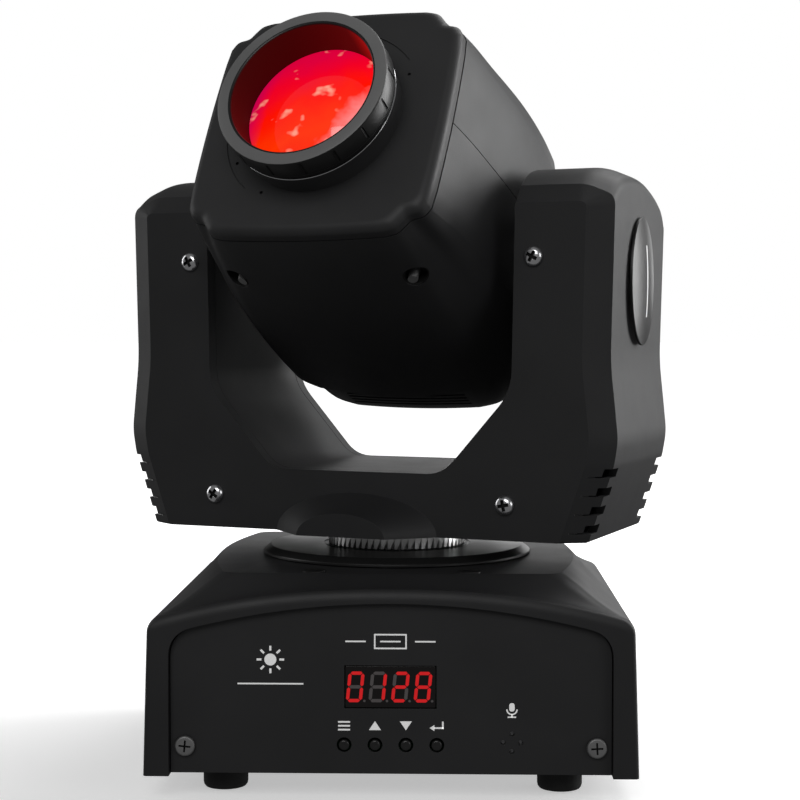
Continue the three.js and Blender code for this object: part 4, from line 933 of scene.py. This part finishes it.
def yoke_housing():
    tops = spline(ARM_TOPS, 4)
    shell = loft([yoke_ring(p.x, CHAMFER, p.y, OUTER_DROP, 0) for p in tops])
    stretched = [Vector((-SEAM_Y - 2, ARM_TOPS[0][1]))] + tops[1:-1] + [Vector((SEAM_Y + 2, ARM_TOPS[-1][1]))]
    inner = loft([yoke_ring(p.x, CHAMFER, p.y, OUTER_DROP, 2.5) for p in stretched[::3] + [stretched[-1]]])
    pan_hole = rod("z", 28.5, YOKE_BOTTOM - 2, YOKE_BOTTOM + 6, segments=96)
    shell = cut(shell, inner, side_notches(), pan_hole, rod("x", 8.6, -66, 66, 0, TILT_Z))
    finished(shell, "yoke_shell", "yoke", PLASTIC, 0.35, 30, ["yoke_housing"])


def boss(half_x, height, tip_x, tip_height, floor, y0, y1):
    """A half cone that swells out over the pan drive."""
    return loft([[(a * cosine, y, floor + b * sine) for cosine, sine in arc(0, 180, 40)]
                 for y, a, b in ((y0, half_x, height), (y1, tip_x, tip_height))])


def yoke_cover(name, node, way):
    """The tray that closes the yoke in front (way -1) or behind, with the boss over the pan drive."""
    wall = COVER_WALL
    top = ARM_TOPS[0][1] if way < 0 else ARM_TOPS[-1][1]
    face_top = top - 6.2
    tray = loft([yoke_ring(way * SEAM_Y, CHAMFER, top, OUTER_DROP, 0),
                 yoke_ring(way * YOKE_FACE, 0, face_top, 1, 0)])
    hollow = loft([yoke_ring(way * (SEAM_Y - 1), CHAMFER, top, OUTER_DROP, wall),
                   yoke_ring(way * (YOKE_FACE - wall), 2.6, face_top, 1, wall)])
    inside, face, reach = way * (SEAM_Y - 1), way * YOKE_FACE, YOKE_FACE + 13
    swell = boss(31.5, 14.7, 16.8, 8.2, YOKE_BOTTOM, way * (YOKE_FACE - 0.5), way * reach)
    swell_hollow = boss(31, 12.5, 14.8, 6.2, YOKE_BOTTOM - 0.1 + wall, inside, way * (reach - wall))
    grooves = []
    for z in NOTCH_Z:
        edge = 84 - 0.335 * (111.6 - z)
        shape = [(edge + 1.4, face + way), (edge + 12, face + way), (edge + 12, inside),
                 (edge + CHAMFER - 2.4, inside), (edge + 1.4, face - way * 1.6)]
        bottom = z - NOTCH_HEIGHT / 2
        for side in (-1, 1):
            grooves.append(prism([(side * x, y) for x, y in shape], "z", bottom, bottom + 0.45))
    made = cut(join(tray, swell), hollow, swell_hollow, merged(grooves), side_notches())
    finished(made, name, "yoke", PLASTIC, 0.5, 24, [node])


STRIPE_HALF_WIDTH = 0.55
STRIPE_HALF_LENGTH = 12.5
STRIPE_THICK = 0.1


def arm_badge(side_name, side):
    """A domed oval plate with a plain stripe down it in place of a mark."""
    low, high = local_box(f"arm_badge_{side_name}", YOKE)
    foot, peak = (low.x, high.x) if side > 0 else (high.x, low.x)
    centre_z = (low.z + high.z) / 2
    half_y, half_z = (high.y - low.y) / 2, (high.z - low.z) / 2

    def oval(x, scale):
        return [(x, scale * half_y * cosine, centre_z + scale * half_z * sine)
                for cosine, sine in arc(0, 360, 96)[:-1]]

    def height(scale):
        return foot + (peak - foot) * (0.35 + 0.65 * (1 - scale ** 2.2))

    scales = [0.995, 0.98, 0.95, 0.9, 0.82, 0.72, 0.6, 0.45, 0.3, 0.15, 0.05]
    rings = [oval(foot, 1), oval(foot + (peak - foot) * 0.3, 1)]
    rings += [oval(height(scale), scale) for scale in scales]
    finished(loft(rings), f"badge_plate_{side_name}", "yoke", SATIN, 0, 40,
             [f"arm_badge_{side_name}"])
    steps = 40
    slices = []
    for i in range(steps + 1):
        z = STRIPE_HALF_LENGTH * (2 * i / steps - 1)
        surface_x = height(math.hypot(STRIPE_HALF_WIDTH / half_y, z / half_z))
        half = side * STRIPE_THICK / 2
        slices.append([(surface_x + sign_x * half, sign_y * STRIPE_HALF_WIDTH, centre_z + z)
                       for sign_x, sign_y in ((-1, -1), (-1, 1), (1, 1), (1, -1))])
    finished(loft(slices), f"badge_stripe_{side_name}", "yoke", INK_WITH_PAINTED_GLOW, 0)


# ---- head
BEZEL_FRONT = 71.6
BEZEL_BACK = 65.75
BEZEL_X = 44
BEZEL_Z = 43.2
BEZEL_RIM = 3.1
SHELL_FRONT = 65.6
REAR_END = 61
HEAD_WALL = 2.2
ARC_SIDE = 15
ARC_MIDDLE = 31
SHELL_SECTIONS = [                 # (distance along the beam, half width, half height, notch)
    (SHELL_FRONT, 44.2, 43.4, 1), (58, 45.9, 45, 0.8), (46, 48, 47, 0.5), (22, 51.2, 50.6, 0.15),
    (0, 52.4, 52.4, 0), (-22, 51.6, 53, 0), (-42, 50.6, 52.6, 0),
]
CAP_SECTIONS = [
    (-10, 48.6, 50.2, 0), (-38, 48, 50, 0), (-51, 45.6, 48, 0), (-59.5, 39, 41, 0), (-REAR_END, 37, 39, 0),
]
ARC_HALF = 54
POCKET_X = 33.3
POCKET_Y = -45.5
POCKET_RADIUS = 4.3


def head_section(w, half_x, half_z, notch):
    """A section across the beam, its corners from rounded (notch 0) to stepped (notch 1)."""
    corner = [(14.5, 0), (10.6, 1.1), (8.2, 3.6), (6.2, 6), (2.3, 7.3), (0.3, 10.4)]
    soft = [(21, 0), (14, 2), (9.4, 5.6), (5.6, 9.4), (2, 14), (0, 21)]
    bow = 0.9
    quarter = [(half_x - notch * a[0] - (1 - notch) * b[0], half_z - notch * a[1] - (1 - notch) * b[1])
               for a, b in zip(corner, soft)]
    top_run = [(quarter[0][0] * t, half_z + bow * (1 - t * t)) for t in (0, 0.2, 0.4, 0.6, 0.8)]
    side_run = [(half_x + bow * (1 - t * t), quarter[-1][1] * t) for t in (0.8, 0.6, 0.4, 0.2)]
    curve = [(p.x, p.y) for p in spline(quarter, 5)]
    right_up = top_run + curve + side_run
    right = right_up + [(half_x + bow, 0)] + [(x, -z) for x, z in right_up[::-1]]
    left = [(-x, z) for x, z in right[::-1]][1:-1]
    return [(x, -w, z) for x, z in right + left]


def head_loft(sections, steps, shrink=0.0, stretch=0.0):
    rows = [list(p) for p in spline(sections, steps)]
    rows[0][0] += stretch
    rows[-1][0] -= stretch
    return loft([head_section(w, a - shrink, b - shrink, max(0, notch)) for w, a, b, notch in rows])


def behind_arc(offset):
    """Everything behind the shells' curved rear edge."""
    steps = 48
    side, far = ARC_SIDE + offset, 90
    edge = []
    for i in range(steps + 1):
        t = 2 * i / steps - 1
        edge.append((t * ARC_HALF, side + (ARC_MIDDLE - ARC_SIDE) * (1 - t * t)))
    return prism([(-70, far), (-70, side), *edge, (70, side), (70, far)], "z", -70, 70)


def head_shell(name, node, upper):
    """Half of the tube behind the bezel. The lower half has a screw pocket at each side."""
    other_half = box(-80, 80, -90, 90, -90, 0.15) if upper else box(-80, 80, -90, 90, -0.15, 90)
    inner = head_loft(SHELL_SECTIONS, 3, HEAD_WALL, 3)
    tools = [other_half, inner, behind_arc(0), rod("x", 6, -70, 70)]
    if not upper:
        tools += [rod("z", POCKET_RADIUS, -60, -40, side * POCKET_X, POCKET_Y, 64) for _, side in SIDES]
    made = cut(head_loft(SHELL_SECTIONS, 7), *tools)
    finished(made, name, "head", PLASTIC, 0.3, 28, [node])


def sunk_rod(side, radius, shift, depth):
    """A rod in a screw pocket, off its centre, that ends a given depth under the shell's surface."""
    made = rod("z", radius, -60, -40, side * (POCKET_X - shift), POCKET_Y + shift, 64)
    combine(made, head_loft(SHELL_SECTIONS, 7, depth), "INTERSECT")
    return made


def shell_pockets():
    """A cup painted near black, painted shade in the hole, and a screw in each of the lower shell's pockets.
    """
    for name, side in SIDES:
        well = rod("z", 3.9, -60, -42, side * POCKET_X, POCKET_Y, 64)
        # The cup's near black is painted shade lining the pocket.
        cup = cut(sunk_rod(side, POCKET_RADIUS - 0.02, 0, 0.15), well)
        finished(cup, f"shell_pocket_{name}", "head", RECESS_PAINTED_SHADE, 0)
        finished(sunk_rod(side, 1.7, 1.4, 0.3), f"shell_screw_{name}", "head", DULL_ZINC, 0)


def rear_cap():
    """The cap behind the shells, with slots over and under it and a round grille at the end."""
    shell = head_loft(CAP_SECTIONS, 6)
    inner = head_loft(CAP_SECTIONS[:-1] + [(-REAR_END + HEAD_WALL, 38, 40, 0)], 2, HEAD_WALL)
    vents = []
    for i in range(4):
        y = 35 + 2.7 * i
        vents += [box(-24, 24, y, y + 1.3, -60, -40), box(-24, 24, y, y + 1.3, 40, 60)]
    for i in range(-3, 4):
        z = 5.2 * i
        half = math.sqrt(21 ** 2 - z ** 2)
        slot = rounded_box(-half, half, z - 1.3, z + 1.3, 1.2, 4)
        vents.append(prism(slot, "y", REAR_END - 5, REAR_END + 5))
    combine(shell, behind_arc(0.3), "INTERSECT")
    made = cut(shell, inner, merged(vents))
    finished(made, "rear_cap_shell", "head", PLASTIC, 0.25, 30, ["rear_cap"])


COLLAR_RADIUS = 28.6
COLLAR_BORE = 27
COLLAR_END = -80.2
SCORE_RADII = (34.8, 35.3)
SCORE_ARCS = ((-170, -131), (39, 68))             # degrees round the ring
PIN_RADIUS = 32.7
PIN_ANGLES = (-150, -120, 30, 60)


def front_bezel():
    """The head's front plate: a rounded rim, a collar, and scored arcs and small holes round it."""
    def section(w, inset):
        return head_section(w, BEZEL_X - inset, BEZEL_Z - inset, 1)

    rings = [section(BEZEL_BACK, 0.15), section(BEZEL_BACK + 0.25, 0)]
    for cosine, sine in arc(0, 90, 8):
        rings.append(section(BEZEL_FRONT - BEZEL_RIM * (1 - sine), BEZEL_RIM * (1 - cosine)))
    hollow = loft([section(BEZEL_BACK - 1, HEAD_WALL), section(BEZEL_FRONT - 2.2, HEAD_WALL + BEZEL_RIM / 2)])
    face, front = -BEZEL_FRONT, -BEZEL_FRONT - 1
    collar = turned("y", [(COLLAR_BORE, face + 1), (COLLAR_RADIUS, face + 1), (COLLAR_RADIUS, COLLAR_END),
                          (COLLAR_BORE, COLLAR_END), (COLLAR_BORE, face + 1)], 128)
    hole = rod("y", COLLAR_BORE, front, -BEZEL_BACK + 2, segments=128)
    scores = []
    for start, end in SCORE_ARCS:
        turns = arc(start, end, 20)
        inner, outer = [[(radius * x, radius * z) for x, z in turns] for radius in SCORE_RADII]
        scores.append(prism(outer + inner[::-1], "y", front, face + 0.5))
    for angle in PIN_ANGLES:
        turn = math.radians(angle)
        x, z = PIN_RADIUS * math.cos(turn), PIN_RADIUS * math.sin(turn)
        scores.append(rod("y", 0.6, front, face + 1.2, x, z, 24))
    made = join(cut(loft(rings), hollow, hole, merged(scores)), collar)
    finished(made, "bezel_plate", "head", BEZEL, 0.12, 30, ["front_bezel"])


RING_BORE_RADIUS = 25.2
GRIPS = 16


def focus_ring():
    """The ring in front of the bezel, with grip lines, a grey face and a bore that the lens's red light falls
    on, painted as a glow.
    """
    low, high = local_box("focus_ring", HEAD)
    front, radius, bore = low.y, high.x, RING_BORE_RADIUS
    skirt = [(23, -71), (26.6, -71), (26.6, -80.6), (29.2, -80.6), (29.5, -80.9), (29.5, -82.3)]
    wall = [(radius - 0.25, -82.6), (radius, -83), (radius, front + 0.8), (radius - 0.25, front + 0.25)]
    face = [(radius - 0.8, front), (bore + 0.9, front), (bore + 0.7, front), (bore + 0.2, front + 0.25)]
    inside = [(bore, front + 0.7), (bore, -74), (23, -74), (23, -71)]
    body = turned("y", skirt + wall + face + inside, 192)
    half_grip = 180 / GRIPS
    grips = [rod("y", 0.55, front + 1.2, -83.6, (radius + 0.2) * x, (radius + 0.2) * z, 12)
             for x, z in arc(half_grip, 360 - half_grip, GRIPS - 1)]
    made = finished(cut(body, merged(grips)), "focus_ring_body", "focus", SATIN, 0, 30,
                    ["focus_ring"])
    made.data.materials.append(RING_FACE)
    made.data.materials.append(RING_BORE_PAINTED_LIGHT)
    for polygon in made.data.polygons:
        centre = polygon.center / MM
        reach = math.hypot(centre.x, centre.z)
        if polygon.normal.y < -0.5 and reach > bore + 0.8 and centre.y < front + 1:
            polygon.material_index = 1
        # Faces in the bore take the painted red glow.
        if reach < bore + 0.3 and centre.y > front + 0.6:
            polygon.material_index = 2
    line = [(28.7, -80.45), (29.5, -80.45), (29.65, -80.3), (29.5, -80.05), (28.7, -80.05), (28.7, -80.45)]
    finished(turned("y", line, 160), "focus_ring_trim", "focus", CHROME, 0)


def painted_bore_light_material():
    """The ring's bore with the lens's red light on it painted as a glow: deep red that brightens to one side,
    painted light.
    """
    surface = Surface("ring_bore_painted_red_light", (0.02, 0.001, 0.001), 0.75, Specular_IOR_Level=0.2)
    split = surface.node("ShaderNodeSeparateXYZ")
    surface.link(surface.place, split.inputs["Vector"])
    level = surface.weigh(split.outputs["Z"], -0.75, split.outputs["X"])
    painted_light_shades = [(0.0, (0.03, 0.0, 0.0)), (0.4, (0.07, 0.001, 0.001)), (0.7, (0.4, 0.005, 0.003)),
              (1.0, (0.85, 0.012, 0.006))]
    surface.glow(surface.ramp(surface.rescale(level, From_Min=-0.03, From_Max=0.03), painted_light_shades), 1.0)
    surface.bump(surface.noise(900, 2), 0.01)
    return surface.material


def lens_material():
    """Coated glass over a lit interior: red, orange low down, pale to one side, with small glints painted
    into the glow as painted highlights.
    """
    surface = Surface("lit_red_lens", (0.2, 0.0, 0.0), 0.08, Coat_Weight=0.7, Coat_Roughness=0.03)
    split = surface.node("ShaderNodeSeparateXYZ")
    surface.link(surface.place, split.inputs["Vector"])

    def across(part_x, part_z, low, high, wobble, noise_scale):
        """Rises from 0 to 1 from low to high (in mm) along a direction, with a wavering edge."""
        height = surface.weigh(split.outputs["Z"], part_z / MM, 0)
        level = surface.weigh(split.outputs["X"], part_x / MM, height)
        wavering = surface.weigh(surface.noise(noise_scale, 3, 0.6), wobble, level)
        return surface.rescale(wavering, From_Min=low + wobble / 2, From_Max=high + wobble / 2)

    def over(below, amount, colour):
        mix = surface.node("ShaderNodeMix", data_type="RGBA", blend_type="MIX")
        surface.link(amount, mix.inputs[0])
        surface.link(below, mix.inputs[6])
        mix.inputs[7].default_value = (*colour, 1)
        return mix.outputs[2]

    def patches(source, start, end, most):
        return surface.ramp(source, [(start, (0, 0, 0)), (end, (most, most, most))])

    reds = [(0.0, (0.75, 0.0, 0.05)), (0.25, (0.9, 0.0, 0.02)), (0.5, (1.0, 0.006, 0.0)),
            (0.8, (1.0, 0.035, 0.0)), (1.0, (0.95, 0.02, 0.0))]
    glow = surface.ramp(across(0.35, -1, -22, 20, 14, 70), reds)
    glow = over(glow, across(-1, 0.1, 17, 25, 5, 120), (0.6, 0.0, 0.08))
    glow = over(glow, patches(across(0.85, -0.5, 9, 19, 12, 110), 0.2, 0.8, 0.8), (0.95, 0.3, 0.3))
    # Small bright specks mixed into the glow: painted highlights.
    glints = patches(surface.noise(120, 2, 0.6, (1, 0.3, 1.3)), 0.61, 0.7, 0.85)
    surface.glow(over(glow, glints, (1.0, 0.42, 0.3)), 0.95)
    return surface.material


def front_lens():
    low, high = local_box("front_lens", HEAD)
    radius, edge, peak = high.x, high.y, low.y
    profile = [(0, edge), (radius - 0.3, edge), (radius, edge - 0.3), (radius, edge - 2)]
    steps = 24
    for i in range(1, steps + 1):
        reach = radius * (1 - i / steps)
        profile.append((reach, edge - 2 + (peak - edge + 2) * (1 - (reach / radius) ** 2)))
    glass = turned("y", profile, 160)
    finished(glass, "lens_glass", "focus", lens_material(), 0, 40, ["front_lens"])


# ---- inner pieces
INNER = {
    STEEL: ["base_plate", "pan_bearing", "yoke_bracket", "pan_motor", "tilt_motor", "tilt_bearing_left",
            "tilt_bearing_right", "tilt_shaft_left", "tilt_shaft_right", "head_bracket", "gobo_wheel",
            "colour_motor", "gobo_motor"],
    ALUMINIUM: ["pan_pinion", "tilt_pinion", "tilt_pulley", "led_module", "heat_sink", "colour_wheel"],
    BOARD: ["control_board", "power_supply"],
    RUBBER: ["pan_belt", "tilt_belt"],
    SMOOTH: ["fan_frame", "fan_rotor"],
    ZINC: ["microphone"],
}


def inner_pieces():
    """The CAD pieces that show only through gaps keep their shapes and get real materials."""
    for material, nodes in INNER.items():
        for node in nodes:
            carried = frame["nodes"][node]
            carried.data.materials.clear()
            carried.data.materials.append(material)
            soften(carried, 0.12, 2, 40)


# ---- studio
AIM = (0, 0, 0.15)
LIGHTS = [                         # name, place, width, height and power, in metres and watts
    ("right_softbox", (1.1, 0.4, 0.4), 0.5, 0.9, 10),
    ("top_softbox", (0.55, 0.5, 1.15), 1.0, 0.8, 7.5),
    ("left_softbox", (-1.25, 0.35, 0.5), 0.5, 1.0, 2.5),
    ("front_fill", (-0.3, -1.5, 1.05), 1.0, 0.8, 7),
    ("right_fill", (1.2, -1.0, 0.45), 0.7, 0.7, 2.2),
    ("back_strip", (0.2, 1.4, 0.32), 1.2, 0.3, 2),
]
FLOOR_HALF = 20                    # metres
FLOOR_DROP = 0.0002


def area_light(name, at, width, height, power):
    data = bpy.data.lights.new(name, "AREA")
    data.shape = "RECTANGLE"
    data.size = width
    data.size_y = height
    data.energy = power
    lamp = bpy.data.objects.new(name, data)
    bpy.context.scene.collection.objects.link(lamp)
    lamp.location = at
    lamp.rotation_mode = "QUATERNION"
    lamp.rotation_quaternion = (Vector(AIM) - Vector(at)).to_track_quat("-Z", "Y")


def white_world():
    """A backdrop that is white to the camera and dim as a light."""
    world = bpy.data.worlds.new("studio")
    bpy.context.scene.world = world
    world.use_nodes = True
    nodes, links = world.node_tree.nodes, world.node_tree.links
    background = nodes["Background"]
    background.inputs["Color"].default_value = (1, 1, 1, 1)
    seen = nodes.new("ShaderNodeLightPath")
    level = nodes.new("ShaderNodeMapRange")
    level.inputs["To Min"].default_value = 0.12
    level.inputs["To Max"].default_value = 1.0
    links.new(seen.outputs["Is Camera Ray"], level.inputs["Value"])
    links.new(level.outputs["Result"], background.inputs["Strength"])


def pale_floor():
    """A floor that glows white far off; its glow is weaker near the moving head, a painted darker zone that
    is pale grey round it.
    """
    surface = Surface("pale_floor", (0.8, 0.8, 0.8), 0.7, Specular_IOR_Level=0.1)
    surface.vary_colour(surface.noise(3, 2), 0.01)
    # Glow rises with distance from the moving head: weaker close by, a painted darker zone, so that the
    # lights' real shadows show there.
    distance = surface.node("ShaderNodeVectorMath", operation="LENGTH")
    surface.link(surface.place, distance.inputs[0])
    fade = surface.rescale(distance.outputs["Value"], interpolation_type="SMOOTHSTEP", From_Min=0.1,
                           From_Max=0.42)
    surface.glow(surface.ramp(fade, [(0.0, (0.45, 0.45, 0.45)), (1.0, (1, 1, 1))]), 1.0)
    corners = [(-FLOOR_HALF, -FLOOR_HALF, 0), (FLOOR_HALF, -FLOOR_HALF, 0), (FLOOR_HALF, FLOOR_HALF, 0),
               (-FLOOR_HALF, FLOOR_HALF, 0)]
    floor = work_object(corners, [(0, 1, 2, 3)])
    floor.name = "floor"
    floor.location.z = -FLOOR_DROP
    floor.data.materials.append(surface.material)
    floor.visible_glossy = False
    floor.visible_diffuse = False


def studio():
    settings = bpy.context.scene.view_settings
    settings.view_transform = "Standard"
    settings.look = "None"
    white_world()
    pale_floor()
    for lamp in LIGHTS:
        area_light(*lamp)


LENS_MM = 79.08
CAMERA_AT = (0.01899, -0.65138, 0.15734)       # from the pan axis at floor level
CAMERA_YAW = -1.56
CAMERA_PITCH = -2.3


def camera():
    data = bpy.data.cameras.new("camera")
    data.lens = LENS_MM
    data.sensor_width = 36
    data.clip_start = 0.01
    data.clip_end = 50
    made = bpy.data.objects.new("camera", data)
    bpy.context.scene.collection.objects.link(made)
    made.location = PAN_AT + Vector(CAMERA_AT)
    made.rotation_euler = (math.radians(90 + CAMERA_PITCH), 0, -math.radians(CAMERA_YAW))
    bpy.context.scene.camera = made


RING_BORE_PAINTED_LIGHT = painted_bore_light_material()

base_cover()
plateau_pads()
control_panel()
panel_print()
display()
buttons()
for side_name, turn in (("left", 0.1), ("right", -0.05)):
    screw(f"panel_screw_{side_name}", f"panel_screw_head_{side_name}", "base", turn, **PANEL_SCREW)
feet()
rear_panel()
power_inlet()
signal_socket("signal_input", True)
signal_socket("signal_output", False)
pan_collar()
pan_gear()
yoke_housing()
yoke_cover("yoke_cover_front", "yoke_front_cover", -1)
yoke_cover("yoke_cover_rear", "yoke_rear_cover", 1)
for side_name, side in SIDES:
    arm_badge(side_name, side)
    for row, turn in (("upper", 0.5 * side), ("lower", 0.2 - 0.4 * side)):
        node = f"cover_screw_{row}_{side_name}"
        screw(node, f"{node}_head", "yoke", turn, **COVER_SCREW)
head_shell("head_shell_upper", "upper_shell", True)
head_shell("head_shell_lower", "lower_shell", False)
shell_pockets()
rear_cap()
front_bezel()
focus_ring()
front_lens()
inner_pieces()
studio()
camera()
